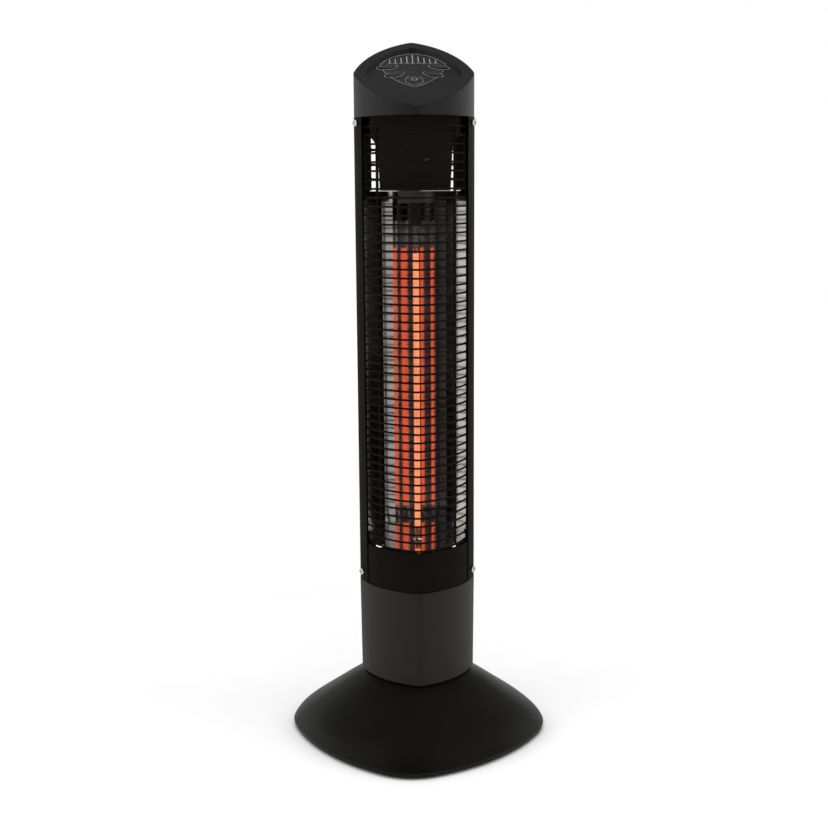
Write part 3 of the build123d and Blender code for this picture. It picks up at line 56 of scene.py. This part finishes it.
# ---- Camera --------------------------------------------------------------------------

PHOTO_WIDTH = 828  # pixels
FOCAL_PIXELS = 1255.6
SENSOR = 36.0  # millimetres
CAMERA_DISTANCE = 1.639  # along the floor, from the column's axis
CAMERA_HEIGHT = 0.739
CAMERA_TILT = radians(10.46)
CAMERA_ROLL = radians(0.40)
COLUMN_TURN = radians(2.3)  # the lamp faces this far to the right of the camera
AXIS_OFFSET = 0.0029  # the column stands this far right of the picture's middle


def add_camera():
    """The photo's camera, which looks down at the heater from its left by a little."""
    ahead = Vector((sin(COLUMN_TURN), cos(COLUMN_TURN), 0))
    right = Vector((cos(COLUMN_TURN), -sin(COLUMN_TURN), 0))
    place = -CAMERA_DISTANCE * ahead - AXIS_OFFSET * right
    place.z = CAMERA_HEIGHT
    view = cos(CAMERA_TILT) * ahead - Vector((0, 0, sin(CAMERA_TILT)))
    up = right.cross(view)
    rolled_right = cos(CAMERA_ROLL) * right - sin(CAMERA_ROLL) * up
    rolled_up = cos(CAMERA_ROLL) * up + sin(CAMERA_ROLL) * right
    data = bpy.data.cameras.new("camera")
    data.sensor_width = SENSOR
    data.lens = FOCAL_PIXELS / PHOTO_WIDTH * SENSOR
    camera = bpy.data.objects.new("camera", data)
    axes = Matrix((rolled_right, rolled_up, -view)).transposed()
    camera.matrix_world = Matrix.Translation(place) @ axes.to_4x4()
    scene.collection.objects.link(camera)
    scene.camera = camera


# ---- Node helpers --------------------------------------------------------------------


class Nodes:
    """A short way to write a material's node tree."""

    def __init__(self, material):
        material.use_nodes = True
        self.tree = material.node_tree
        self.tree.nodes.clear()
        self.output = self.tree.nodes.new("ShaderNodeOutputMaterial")
        self.place = self.tree.nodes.new("ShaderNodeTexCoord").outputs["Object"]

    def add(self, kind, **sockets):
        node = self.tree.nodes.new(kind)
        for name, value in sockets.items():
            self.feed(node.inputs[name.replace("_", " ")], value)
        return node

    def feed(self, socket, value):
        if isinstance(value, bpy.types.NodeSocket):
            self.tree.links.new(value, socket)
        else:
            socket.default_value = value

    def stretch(self, x, y, z):
        mapping = self.add("ShaderNodeMapping", Vector=self.place)
        mapping.inputs["Scale"].default_value = (x, y, z)
        return mapping.outputs["Vector"]

    def noise(self, scale, detail=3.0, rough=0.55, place=None):
        where = place or self.place
        node = self.add("ShaderNodeTexNoise", Vector=where, Scale=scale, Detail=detail, Roughness=rough)
        return node.outputs["Fac"]

    def spread(self, value, low, high, start=0.3, end=0.7):
        node = self.add("ShaderNodeMapRange", Value=value)
        for name, number in (("From Min", start), ("From Max", end), ("To Min", low), ("To Max", high)):
            node.inputs[name].default_value = number
        return node.outputs["Result"]

    def mix(self, share, first, second):
        node = self.tree.nodes.new("ShaderNodeMix")
        node.data_type = "RGBA"
        self.feed(node.inputs["Factor"], share)
        self.feed(node.inputs[6], first)
        self.feed(node.inputs[7], second)
        return node.outputs[2]

    def math(self, kind, first, second):
        node = self.tree.nodes.new("ShaderNodeMath")
        node.operation = kind
        self.feed(node.inputs[0], first)
        self.feed(node.inputs[1], second)
        return node.outputs[0]

    def bump(self, height, depth, strength=1.0, under=None):
        node = self.add("ShaderNodeBump", Height=height, Strength=strength, Distance=depth)
        if under is not None:
            self.feed(node.inputs["Normal"], under)
        return node.outputs["Normal"]

    def edges(self, radius):
        """How sharply the surface turns within radius: 0 on flats and towards 1 on edges."""
        rounded = self.add("ShaderNodeBevel", Radius=radius)
        plain = self.tree.nodes.new("ShaderNodeNewGeometry")
        dot = self.tree.nodes.new("ShaderNodeVectorMath")
        dot.operation = "DOT_PRODUCT"
        self.feed(dot.inputs[0], rounded.outputs["Normal"])
        self.feed(dot.inputs[1], plain.outputs["Normal"])
        return self.spread(dot.outputs["Value"], 1.0, 0.0, 0.7, 0.98)

    def finish(self, shader):
        self.tree.links.new(shader, self.output.inputs["Surface"])


def shade(colour, factor):
    """A colour made darker or lighter, with full alpha."""
    return (*(min(1.0, channel * factor) for channel in colour), 1.0)


materials = {}


def surface(
    name, colour, rough, specular=0.5, metallic=0.0, tint=0.12, patch=9.0, grain=900.0,
    depth=0.00004, wear_and_edge_highlight=0.0, wear_and_highlight_colour=None, coat=0.0, warm=(1.0, 1.0, 1.0), stretch=None,
):
    """A moulded, painted or plated finish with grain, uneven sheen and tint. Its edges are lightened, which
    is partly wear and partly a painted edge highlight.
    """
    material = bpy.data.materials.new(name)
    tree = Nodes(material)
    place = tree.stretch(*stretch) if stretch else tree.place
    cloud = tree.noise(patch, 4.0)
    fine = tree.noise(grain, 2.0, 0.6, place)
    darker = shade(colour, 1 - tint)
    lighter = shade([c * w for c, w in zip(colour, warm)], 1 + tint)
    base = tree.mix(tree.spread(cloud, 0, 1), darker, lighter)
    base = tree.mix(tree.spread(fine, 0, 0.5), base, lighter)
    gloss = tree.spread(cloud, rough * 0.9, rough * 1.1)
    gloss = tree.math("ADD", gloss, tree.spread(fine, -0.04, 0.04))
    # Edges found by the bevel mask are lightened: partly rubbed wear, partly a painted edge highlight.
    if wear_and_edge_highlight:
        rubbed_and_highlit = tree.math("MULTIPLY", tree.edges(0.0009), wear_and_edge_highlight)
        rubbed_and_highlit = tree.math("MULTIPLY", rubbed_and_highlit, tree.spread(tree.noise(160.0, 3.0), 0.2, 1))
        base = tree.mix(rubbed_and_highlit, base, (*(wear_and_highlight_colour or [c * 3 for c in colour]), 1.0))
    shader = tree.add(
        "ShaderNodeBsdfPrincipled", Base_Color=base, Roughness=gloss, Metallic=metallic,
        Normal=tree.bump(fine, depth),
    )
    shader.inputs["Specular IOR Level"].default_value = specular
    shader.inputs["Coat Weight"].default_value = coat
    shader.inputs["Coat Roughness"].default_value = 0.12
    tree.finish(shader.outputs["BSDF"])
    materials[name] = material
    return material


def polished_sheet():
    """Rolled aluminium: fine upright lines, a faint ripple and dull patches."""
    material = bpy.data.materials.new("polished_sheet")
    tree = Nodes(material)
    lines = tree.noise(1.0, 3.0, 0.6, tree.stretch(2600, 2600, 14))
    ripple = tree.noise(7.0, 2.0)
    cloud = tree.noise(22.0, 4.0)
    base = tree.mix(tree.spread(cloud, 0, 1), (0.80, 0.79, 0.77, 1), (0.87, 0.865, 0.85, 1))
    gloss = tree.math("ADD", tree.spread(cloud, 0.07, 0.10), tree.spread(lines, -0.02, 0.02))
    normal = tree.bump(lines, 0.000002, 0.4, tree.bump(ripple, 0.0002, 0.2))
    shader = tree.add(
        "ShaderNodeBsdfPrincipled", Base_Color=base, Roughness=gloss, Metallic=1.0, Normal=normal
    )
    tree.finish(shader.outputs["BSDF"])
    materials["polished_sheet"] = material


def quartz():
    """Clear fused quartz with faint drawing lines along it."""
    material = bpy.data.materials.new("quartz")
    tree = Nodes(material)
    lines = tree.noise(1.0, 2.0, 0.5, tree.stretch(900, 900, 25))
    haze = tree.spread(tree.noise(60.0, 3.0), 0.01, 0.06)
    shader = tree.add(
        "ShaderNodeBsdfPrincipled", Base_Color=(1.0, 0.97, 0.94, 1), Roughness=haze,
        Normal=tree.bump(lines, 0.00001, 0.5),
    )
    shader.inputs["Transmission Weight"].default_value = 1.0
    shader.inputs["IOR"].default_value = 1.46
    tree.finish(shader.outputs["BSDF"])
    materials["quartz"] = material


GLOW = 1.5
GLOW_FACE = (0.74, 0.28, 0.125, 1)
GLOW_FACE_DIM = (0.66, 0.19, 0.072, 1)
# The back's dimmer, redder tones are a painted reflection colour, set for what the reflector behind the lamp
# shows.
GLOW_BACK_REFLECTED = (0.72, 0.088, 0.030, 1)
GLOW_BACK_REFLECTED_DIM = (0.58, 0.058, 0.018, 1)


def glow():
    """The wound carbon at work, uneven along its length. Its front glows in the tone seen straight on, and
    its back in a dimmer, redder tone, a painted reflection colour for the reflector behind it.
    """
    material = bpy.data.materials.new("glow_strip")
    tree = Nodes(material)
    along = tree.spread(tree.noise(1.0, 3.0, 0.5, tree.stretch(60, 60, 420)), 0, 1)
    split = tree.tree.nodes.new("ShaderNodeSeparateXYZ")
    texture = tree.tree.nodes.new("ShaderNodeTexCoord")
    tree.feed(split.inputs[0], texture.outputs["Normal"])
    # Faces towards the front take the tone seen straight on; faces towards the back take the painted
    # reflection tone that the reflector mirrors.
    front = tree.spread(split.outputs["Y"], 1, 0, -0.5, 0.2)
    face = tree.mix(along, GLOW_FACE_DIM, GLOW_FACE)
    back = tree.mix(along, GLOW_BACK_REFLECTED_DIM, GLOW_BACK_REFLECTED)
    light = tree.add("ShaderNodeEmission", Color=tree.mix(front, back, face), Strength=GLOW)
    tree.finish(light.outputs["Emission"])
    materials["glow_strip"] = material


def make_materials():
    """One finish for each material slot of the record."""
    surface("base_plastic", (0.0045, 0.0042, 0.0032), 0.40, specular=0.13, grain=700, depth=0.00002,
            tint=0.15, wear_and_edge_highlight=0.25)
    surface("post_plastic", (0.0138, 0.0124, 0.0102), 0.47, specular=0.22, grain=1300, wear_and_edge_highlight=0.3)
    surface("head_plastic", (0.0150, 0.0148, 0.0152), 0.42, specular=0.22, grain=1300, wear_and_edge_highlight=0.35)
    surface("frame_paint", (0.0068, 0.0060, 0.0046), 0.50, specular=0.03, grain=1100, wear_and_edge_highlight=0.3)
    surface("grille_paint", (0.0060, 0.0052, 0.0042), 0.50, specular=0.05, grain=1500, tint=0.3,
            wear_and_edge_highlight=0.15, warm=(1.3, 1.0, 0.8))
    surface("baffle_paint", (0.0170, 0.0152, 0.0116), 0.60, specular=0.12, grain=1200, tint=0.2)
    surface("ceramic", (0.72, 0.69, 0.62), 0.62, specular=0.4, grain=1800, depth=0.00005, tint=0.08)
    surface("dark_ceramic", (0.0100, 0.0090, 0.0078), 0.70, specular=0.2, grain=1800, depth=0.00005,
            tint=0.2)
    surface("bright_steel", (0.62, 0.61, 0.59), 0.22, metallic=1.0, grain=2200, depth=0.00001,
            tint=0.15)
    surface("zinc_steel", (0.42, 0.42, 0.41), 0.34, metallic=1.0, grain=1500, depth=0.00002,
            tint=0.2, patch=40)
    surface("iron", (0.05, 0.048, 0.046), 0.7, metallic=0.6, grain=700, depth=0.0002, tint=0.3)
    surface("foot_rubber", (0.02, 0.02, 0.02), 0.75, specular=0.3, grain=1200, tint=0.2)
    surface("nylon", (0.66, 0.64, 0.58), 0.45, specular=0.45, grain=900, tint=0.06)
    surface("black_nylon", (0.016, 0.016, 0.016), 0.42, specular=0.35, grain=1100)
    surface("circuit_board", (0.02, 0.12, 0.05), 0.3, specular=0.5, grain=600, tint=0.25, coat=0.3)
    surface("lead_sleeve", (0.60, 0.58, 0.52), 0.7, specular=0.3, grain=1.0, depth=0.0001,
            stretch=(900, 900, 2600), tint=0.15)
    surface("fascia_plastic", (0.0190, 0.0190, 0.0205), 0.30, specular=0.34, grain=1800,
            depth=0.00001, wear_and_edge_highlight=0.2)
    surface("light_guide", (0.34, 0.34, 0.35), 0.35, specular=0.5, grain=1500, tint=0.15)
    surface("button_plastic", (0.0240, 0.0245, 0.0270), 0.26, specular=0.45, grain=1600,
            depth=0.00001, wear_and_edge_highlight=0.3, coat=0.25)
    surface("mark_ink", (0.30, 0.30, 0.31), 0.45, specular=0.4, grain=1500, tint=0.2)
    polished_sheet()
    quartz()
    glow()


def dress_nodes():
    """Every node of the frame gets the material that its record slot names."""
    slots = {part["node"]: part["material_slot"] for part in frame["record"]["subparts"]}
    for name, piece in nodes.items():
        piece.data.materials.clear()
        piece.data.materials.append(materials[slots[name]])


# ---- Pieces in mesh code -------------------------------------------------------------


def add_piece(name, build, material, body, smooth=True):
    """Turn a bmesh into an object that rides on a body and takes its finish from a slot."""
    bmesh.ops.recalc_face_normals(build, faces=build.faces)
    mesh = bpy.data.meshes.new(name)
    build.to_mesh(mesh)
    build.free()
    for face in mesh.polygons:
        face.use_smooth = smooth
    piece = bpy.data.objects.new(name, mesh)
    scene.collection.objects.link(piece)
    mesh.materials.append(materials[material])
    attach(piece, body)
    return piece


def join_rings(build, rings, closed=False):
    """Skin rows of points that all have the same count, and cap both ends of an open row."""
    rows = [[build.verts.new(point) for point in ring] for ring in rings]
    pairs = list(zip(rows, rows[1:])) + ([(rows[-1], rows[0])] if closed else [])
    for first, second in pairs:
        for k in range(len(first)):
            after = (k + 1) % len(first)
            build.faces.new((first[k], first[after], second[after], second[k]))
    if not closed:
        build.faces.new(reversed(rows[0]))
        build.faces.new(rows[-1])


def tube_rings(path, radius, sides=8):
    """Rings of a round wire along a path of points."""
    rings = []
    for k, point in enumerate(path):
        ahead = path[min(k + 1, len(path) - 1)] - path[max(k - 1, 0)]
        across = ahead.orthogonal().normalized() if k == 0 else (across - across.project(ahead)).normalized()
        up = ahead.normalized().cross(across)
        turns = [2 * pi * side / sides for side in range(sides)]
        rings.append([point + radius * (cos(t) * across + sin(t) * up) for t in turns])
    return rings


# ---- Control panel: printed lines and feet of the level bars -------------------------

SLANT = radians(30.4)
RIM_MIDDLE = Vector((0, 0, 0.876))  # the slanted rim on the column's axis
ACROSS = Vector((1, 0, 0))
ALONG = Vector((0, cos(SLANT), sin(SLANT)))
OUT = Vector((0, -sin(SLANT), cos(SLANT)))
PANEL_DEPTH = 0.005
LINE_WIDTH = 0.0006
LINE_HEIGHT = 0.00022
KITE = (0.044, 0.032, 0.066)  # the fascia's half width, and its reach to the back and front
KITE_MIDDLE = 0.032
KITE_BOW = 0.129
KITE_STEPS = 60  # on each of its four sides
KITE_INSET = 0.045  # of the printed outline, as a share
LEAF = (0.024, 0.011)  # a leaf button's length and width
LEAF_LOOP = 0.0017  # from the button to the printed loop around it
LEAF_TIP = 1.4 * LEAF_LOOP  # the same at the leaf's two tips
LEAF_PLACES = {
    "upper_left": (-0.0335, 0.024, radians(17)), "upper_right": (0.0335, 0.024, radians(-17)),
    "lower_left": (-0.0245, 0.0035, radians(25)), "lower_right": (0.0245, 0.0035, radians(-25)),
}
POWER_PLACE = -0.0125
POWER_RING = 0.0114
POWER_LIFT = 0.0017
POWER_MARK = 0.0036
POWER_MARK_GAP = radians(38)  # on each side of the mark's upright stroke
POWER_STROKE = (0.0008, 0.0026, 0.0046)
POWER_MARK_WIDTH = 0.0008
BAR_PITCH = 0.0074
BAR_COUNT = 9
BAR_LOW = 0.036
FOOT_REACH = 0.0026
FOOT_DROP = 0.0016
FOOT_WIDTH = 0.00096
FOOT_SHAPE = ((-1, 1), (-0.5, 0.4), (0, 0), (0.5, 0.4), (1, 1))  # shares of reach and drop


def panel_point(across, along, lift=0.0):
    """A point over the sunk panel, by its place across and along it."""
    return RIM_MIDDLE + across * ACROSS + along * ALONG + (lift - PANEL_DEPTH) * OUT


def printed_line(build, points, closed=True, lift=0.0, width=LINE_WIDTH):
    """A raised line with sloped sides that follows points of the panel."""
    rings = []
    count = len(points)
    for k, (x, y) in enumerate(points):
        before = points[(k - 1) % count] if closed else points[max(k - 1, 0)]
        after = points[(k + 1) % count] if closed else points[min(k + 1, count - 1)]
        run = Vector((after[0] - before[0], after[1] - before[1])).normalized()
        side = Vector((-run.y, run.x)) * width / 2
        profile = ((-1, -0.25), (-0.6, 1), (0.6, 1), (1, -0.25))
        rings.append([
            panel_point(x + side.x * s, y + side.y * s, lift + LINE_HEIGHT * h) for s, h in profile
        ])
    join_rings(build, rings, closed)


def bowed_arc(start, end, bow, steps=14):
    """Points from start to end on an arc whose rise is bow times the chord, to the left."""
    run = Vector(end) - Vector(start)
    chord = run.length
    rise = chord * bow
    radius = (chord ** 2 / 4 + rise ** 2) / (2 * rise)
    middle = (Vector(start) + Vector(end)) / 2
    left = Vector((run.y, -run.x)).normalized()
    centre = middle - left * (radius - rise)
    half = asin(chord / 2 / radius)
    points = []
    for step in range(steps):
        turn = -half + 2 * half * step / steps
        points.append(centre + radius * (cos(turn) * left + sin(turn) * run.normalized()))
    return [(point.x, point.y) for point in points]


def kite_points():
    """The closed outline that is printed within the fascia's edge."""
    half, back, front = (size * (1 - KITE_INSET) for size in KITE)
    tips = [(0, KITE_MIDDLE - front), (half, KITE_MIDDLE), (0, KITE_MIDDLE + back), (-half, KITE_MIDDLE)]
    points = []
    for start, end in zip(tips, tips[1:] + tips[:1]):
        points += bowed_arc(start, end, KITE_BOW, KITE_STEPS)
    return points


def clear_of_leaves(point):
    """Whether a point of the panel lies outside the loop around every leaf button."""
    for across, along, turn in LEAF_PLACES.values():
        x, y = point[0] - across, point[1] - along
        share = (x * cos(turn) + y * sin(turn)) / (LEAF[0] / 2 + LEAF_TIP)
        width = (LEAF[1] / 2 + LEAF_LOOP) * (1 - share ** 2)
        if abs(y * cos(turn) - x * sin(turn)) < width:
            return False
    return True


def clear_runs(points):
    """The stretches of a closed outline that no leaf button lies under."""
    runs = [[]]
    for point in points + points[:1]:
        if clear_of_leaves(point):
            runs[-1].append(point)
        elif runs[-1]:
            runs.append([])
    if len(runs) > 1:
        runs[0] = runs.pop() + runs[0][1:]
    return [run for run in runs if len(run) > 1]


def leaf_points(across, along, turn):
    """The loop that is printed around a leaf button."""
    length, width = LEAF
    tip = length / 2 + LEAF_TIP
    bow = (width / 2 + LEAF_LOOP) / (2 * tip)
    points = bowed_arc((-tip, 0), (tip, 0), bow) + bowed_arc((tip, 0), (-tip, 0), bow)
    return [
        (across + x * cos(turn) - y * sin(turn), along + x * sin(turn) + y * cos(turn)) for x, y in points
    ]


def ring_points(radius, start=0.0, end=2 * pi, steps=36):
    """A circle around the round button's middle, or an arc of it."""
    turns = [start + (end - start) * step / steps for step in range(steps + (end - start < 2 * pi))]
    return [(radius * sin(turn), POWER_PLACE + radius * cos(turn)) for turn in turns]


def add_panel_lines():
    """The panel's outline, the loops around its buttons and the feet of its bars."""
    build = bmesh.new()
    for run in clear_runs(kite_points()):
        printed_line(build, run, closed=False)
    for across, along, turn in LEAF_PLACES.values():
        printed_line(build, leaf_points(across, along, turn))
    printed_line(build, ring_points(POWER_RING))
    for bar in range(BAR_COUNT):
        across = (bar - (BAR_COUNT - 1) / 2) * BAR_PITCH
        feet = [(across + FOOT_REACH * x, BAR_LOW - FOOT_DROP * y) for x, y in FOOT_SHAPE]
        printed_line(build, feet, closed=False, width=FOOT_WIDTH)
    add_piece("panel_lines", build, "mark_ink", "column")


def add_power_mark():
    """An open ring with an upright stroke on the round button."""
    build = bmesh.new()
    ring = ring_points(POWER_MARK, POWER_MARK_GAP, 2 * pi - POWER_MARK_GAP, steps=24)
    stroke = [(0, POWER_PLACE + height) for height in POWER_STROKE]
    for points in (ring, stroke):
        printed_line(build, points, closed=False, lift=POWER_LIFT, width=POWER_MARK_WIDTH)
    add_piece("power_mark", build, "mark_ink", "power_button")


# ---- Lamp: the wound ribbon, its springs and rods -------------------------------------

GLOW_LOW = 0.287
GLOW_HIGH = 0.651
LAMP_LOW = 0.2615
LAMP_HIGH = 0.694
COIL_RADIUS = 0.0039
COIL_PITCH = 0.0026
COIL_STEPS = 20  # in each turn
RIBBON_WIDTH = 0.0021
RIBBON_THICK = 0.0004
SPRING_RADIUS = 0.0021
SPRING_TURNS = 9
SPRING_STEPS = 12  # in each turn
SPRING_WIRE = 0.00035
SPRING_SHARE = 0.62  # of the way from the coil to the lamp's end
ROD_START = 1.1  # spring lengths from the coil, where the straight rod begins


def coil_rings(middle):
    """Cross-sections of the carbon ribbon along its windings."""
    inner = COIL_RADIUS - RIBBON_THICK
    section = (
        (COIL_RADIUS, 0), (COIL_RADIUS, RIBBON_WIDTH), (inner, RIBBON_WIDTH), (inner, 0),
    )
    rings = []
    count = int((GLOW_HIGH - GLOW_LOW - RIBBON_WIDTH) / COIL_PITCH * COIL_STEPS)
    for step in range(count + 1):
        turn = 2 * pi * step / COIL_STEPS
        height = GLOW_LOW + COIL_PITCH * step / COIL_STEPS
        rings.append([
            Vector((radius * cos(turn), middle + radius * sin(turn), height + rise))
            for radius, rise in section
        ])
    return rings


def spring_path(start, end, middle):
    """A wire that winds away from the coil's end and then runs straight to the lamp's."""
    steps = SPRING_TURNS * SPRING_STEPS
    reach = (end - start) * SPRING_SHARE
    path = []
    for step in range(steps + 1):
        turn = 2 * pi * SPRING_TURNS * step / steps
        radius = SPRING_RADIUS * min(1.0, 4 * min(step, steps - step) / steps)
        path.append(Vector((
            radius * cos(turn), middle + radius * sin(turn), start + reach * step / steps,
        )))
    path.append(Vector((0, middle, start + reach * ROD_START)))
    path.append(Vector((0, middle, end)))
    return path


def add_filament():
    """A carbon ribbon wound into a coil between two sprung leads, in place of the plain bar."""
    low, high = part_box("filament")
    middle = (low[1] + high[1]) / 2
    build = bmesh.new()
    join_rings(build, coil_rings(middle))
    coil = add_piece("carbon_coil", build, "glow_strip", "column", smooth=False)
    leads = bmesh.new()
    for start, end in ((GLOW_HIGH, LAMP_HIGH), (GLOW_LOW, LAMP_LOW)):
        join_rings(leads, tube_rings(spring_path(start, end, middle), SPRING_WIRE, 6))
    springs = add_piece("lamp_springs", leads, "bright_steel", "column")
    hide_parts("filament")
    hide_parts("filament")


# ---- Grille: a weld bead where each wire crosses an upright --------------------------

WIRE_LOWEST = 0.269
WIRE_PITCH = 0.011
WIRE_COUNT = 50
BEAD_SIZE = (0.0019, 0.0015, 0.0017)
BEAD_UNEVEN = 0.12  # as a share of its size
BEAD_TILT = 0.4  # radians
BEAD_OUT = 0.0018  # from the upright's middle to the bead's
BEAD_SIDE = (0.75, -0.66)  # the way that the wires face where they cross the right upright
UPRIGHT_ENDS = (0.266, 0.2676)  # heights between which only the uprights' ends lie
UPRIGHT_REACH = 0.06  # the side strips stand farther out than this


def add_welds():
    """A bead, uneven as by hand, on each wire at each upright."""
    rng = random.Random(7)
    points = [v.co for v in nodes["front_grille"].data.vertices]
    lowest, highest = UPRIGHT_ENDS
    build = bmesh.new()
    for side in (-1, 1):
        foot = [p for p in points if 0 < side * p.x < UPRIGHT_REACH and lowest < p.z < highest]
        centre = sum(foot, Vector()) / len(foot)
        outward = Vector((side * BEAD_SIDE[0], BEAD_SIDE[1], 0)).normalized()
        for row in range(WIRE_COUNT):
            height = WIRE_LOWEST + WIRE_PITCH * row
            spot = Vector((centre.x, centre.y, height)) + outward * BEAD_OUT
            sizes = [size * rng.uniform(1 - BEAD_UNEVEN, 1 + BEAD_UNEVEN) for size in BEAD_SIZE]
            turn = Matrix.Rotation(rng.uniform(-BEAD_TILT, BEAD_TILT), 4, "X")
            shape = Matrix.Translation(spot) @ turn @ Matrix.Diagonal((*sizes, 1))
            bmesh.ops.create_icosphere(build, subdivisions=2, radius=1.0, matrix=shape)
    add_piece("weld_beads", build, "grille_paint", "column")


# ---- Studio --------------------------------------------------------------------------

FLOOR_HALF = 6.0
AMBIENT = 0.42  # the sky's strength on all that isn't a mirror or glass
SHINE_NEAR = 0.25  # the tone that the floor adds in view, close to the heater and far away
SHINE_FAR = 0.68
FADE_START = 0.6  # the distances from the column between which that tone rises
FADE_END = 3.2
# Near the base, ambient occlusion dims the floor's camera-only tone: a painted contact shadow.
SHADE_REACH = 0.035  # how near the base dims that tone
FLAG_STEPS = 12
FLAG_DISTANCE = 1.0
FLAG_FOOT = 0.002
FLAG_TOP = 1.7
FLAGS = {  # from and to, in degrees to the right of straight before the heater, and the tone
    "front_flag": (-58, 40, 0.03), "right_flag": (40, 88, 0.37), "left_flag": (-88, -58, 0.60),
}
CARD_TINT = (1, 0.97, 0.93, 1)
CANOPY_HALF = 3.0
CANOPY_HEIGHT = 1.9
CANOPY_TONE = 0.14
OVERHEAD_PLACE = (0, -0.3, 2.6)
OVERHEAD_AIM = (0, 0, 0.4)
OVERHEAD_SIZE = (1.8, 1.8)
OVERHEAD_WATTS = 34
PANEL_AIM = (0, 0, 0.5)
PANEL_SIZE = (0.9, 1.8)
SIDE_PANELS = {"left_panel": ((-2.2, -0.9, 1.1), 16), "right_panel": ((2.2, -0.7, 1.1), 18)}


def add_floor():
    """A pale floor that holds the heater's shadow and fades into the white behind. The lamps cast part of
    that shadow, and a painted contact shadow dims its camera-only tone near the base.
    """
    mesh = bpy.data.meshes.new("floor")
    build = bmesh.new()
    bmesh.ops.create_grid(build, x_segments=8, y_segments=8, size=FLOOR_HALF)
    build.to_mesh(mesh)
    build.free()
    floor = bpy.data.objects.new("floor", mesh)
    scene.collection.objects.link(floor)
    material = bpy.data.materials.new("floor_paint")
    tree = Nodes(material)
    tone = tree.mix(tree.spread(tree.noise(3.0), 0, 1), (0.80, 0.80, 0.80, 1), (0.82, 0.82, 0.82, 1))
    paint = tree.add("ShaderNodeBsdfDiffuse", Color=tone)
    seen = tree.add("ShaderNodeLightPath").outputs["Is Camera Ray"]
    reach = tree.tree.nodes.new("ShaderNodeVectorMath")
    reach.operation = "LENGTH"
    tree.feed(reach.inputs[0], tree.place)
    fade = tree.spread(reach.outputs["Value"], SHINE_NEAR, SHINE_FAR, FADE_START, FADE_END)
    # The camera-only tone is dimmed where the base occludes the floor: a painted contact shadow.
    open_sky = tree.add("ShaderNodeAmbientOcclusion", Distance=SHADE_REACH).outputs["AO"]
    fade = tree.math("MULTIPLY", fade, tree.math("POWER", open_sky, 2.0))
    shine = tree.add("ShaderNodeEmission", Color=(1, 1, 1, 1), Strength=tree.math("MULTIPLY", seen, fade))
    both = tree.tree.nodes.new("ShaderNodeAddShader")
    tree.feed(both.inputs[0], paint.outputs["BSDF"])
    tree.feed(both.inputs[1], shine.outputs["Emission"])
    tree.finish(both.outputs["Shader"])
    mesh.materials.append(material)


def add_world():
    """White to the camera and in mirrors and glass, and a plain soft light on the rest."""
    world = bpy.data.worlds.new("studio")
    scene.world = world
    world.use_nodes = True
    tree = world.node_tree
    tree.nodes.clear()
    path = tree.nodes.new("ShaderNodeLightPath")
    total = path.outputs["Is Camera Ray"]
    for kind in ("Is Glossy Ray", "Is Transmission Ray"):
        add = tree.nodes.new("ShaderNodeMath")
        add.operation = "MAXIMUM"
        tree.links.new(total, add.inputs[0])
        tree.links.new(path.outputs[kind], add.inputs[1])
        total = add.outputs[0]
    level = tree.nodes.new("ShaderNodeMapRange")
    level.inputs["To Min"].default_value = AMBIENT
    level.inputs["To Max"].default_value = 1.0
    tree.links.new(total, level.inputs["Value"])
    back = tree.nodes.new("ShaderNodeBackground")
    back.inputs["Color"].default_value = (1, 1, 1, 1)
    tree.links.new(level.outputs["Result"], back.inputs["Strength"])
    output = tree.nodes.new("ShaderNodeOutputWorld")
    tree.links.new(back.outputs["Background"], output.inputs["Surface"])


def add_lamp(name, place, aim, size, watts):
    """A flat soft lamp that points from its place at aim."""
    data = bpy.data.lights.new(name, "AREA")
    data.shape = "RECTANGLE"
    data.size, data.size_y = size
    data.energy = watts
    lamp = bpy.data.objects.new(name, data)
    lamp.location = place
    lamp.rotation_euler = (Vector(aim) - Vector(place)).to_track_quat("-Z", "Y").to_euler()
    scene.collection.objects.link(lamp)
    return lamp


def add_flag(name, start, end, tone):
    """An upright card that curves around the heater."""
    build = bmesh.new()
    edge = None
    for step in range(FLAG_STEPS + 1):
        turn = radians(start + (end - start) * step / FLAG_STEPS)
        spot = (FLAG_DISTANCE * sin(turn), -FLAG_DISTANCE * cos(turn))
        pair = [build.verts.new((*spot, height)) for height in (FLAG_FOOT, FLAG_TOP)]
        if edge:
            build.faces.new((*edge, *reversed(pair)))
        edge = pair
    add_card(name, build, tone)


def add_canopy():
    """A level grey card over the studio, above the lamps."""
    build = bmesh.new()
    over = Matrix.Translation((0, 0, CANOPY_HEIGHT))
    bmesh.ops.create_grid(build, x_segments=1, y_segments=1, size=CANOPY_HALF, matrix=over)
    add_card("canopy", build, CANOPY_TONE)


def add_card(name, build, tone):
    """A card that only polished, glossy and clear surfaces show."""
    mesh = bpy.data.meshes.new(name)
    build.to_mesh(mesh)
    build.free()
    card = bpy.data.objects.new(name, mesh)
    scene.collection.objects.link(card)
    for ray in ("camera", "diffuse", "volume_scatter", "shadow"):
        setattr(card, f"visible_{ray}", False)
    material = bpy.data.materials.new(name)
    tree = Nodes(material)
    weave = tree.spread(tree.noise(30.0), tone * 0.9, tone * 1.1)
    cloth = tree.add("ShaderNodeEmission", Color=CARD_TINT, Strength=weave)
    tree.finish(cloth.outputs["Emission"])
    mesh.materials.append(material)


def add_studio():
    add_world()
    add_floor()
    add_canopy()
    for name, (start, end, tone) in FLAGS.items():
        add_flag(name, start, end, tone)
    overhead = add_lamp("overhead", OVERHEAD_PLACE, OVERHEAD_AIM, OVERHEAD_SIZE, OVERHEAD_WATTS)
    overhead.visible_glossy = False  # it lights the heater without a glare on its slopes
    for name, (place, watts) in SIDE_PANELS.items():
        add_lamp(name, place, PANEL_AIM, PANEL_SIZE, watts)


add_camera()
make_materials()
dress_nodes()
add_panel_lines()
add_power_mark()
add_filament()
add_welds()
add_studio()
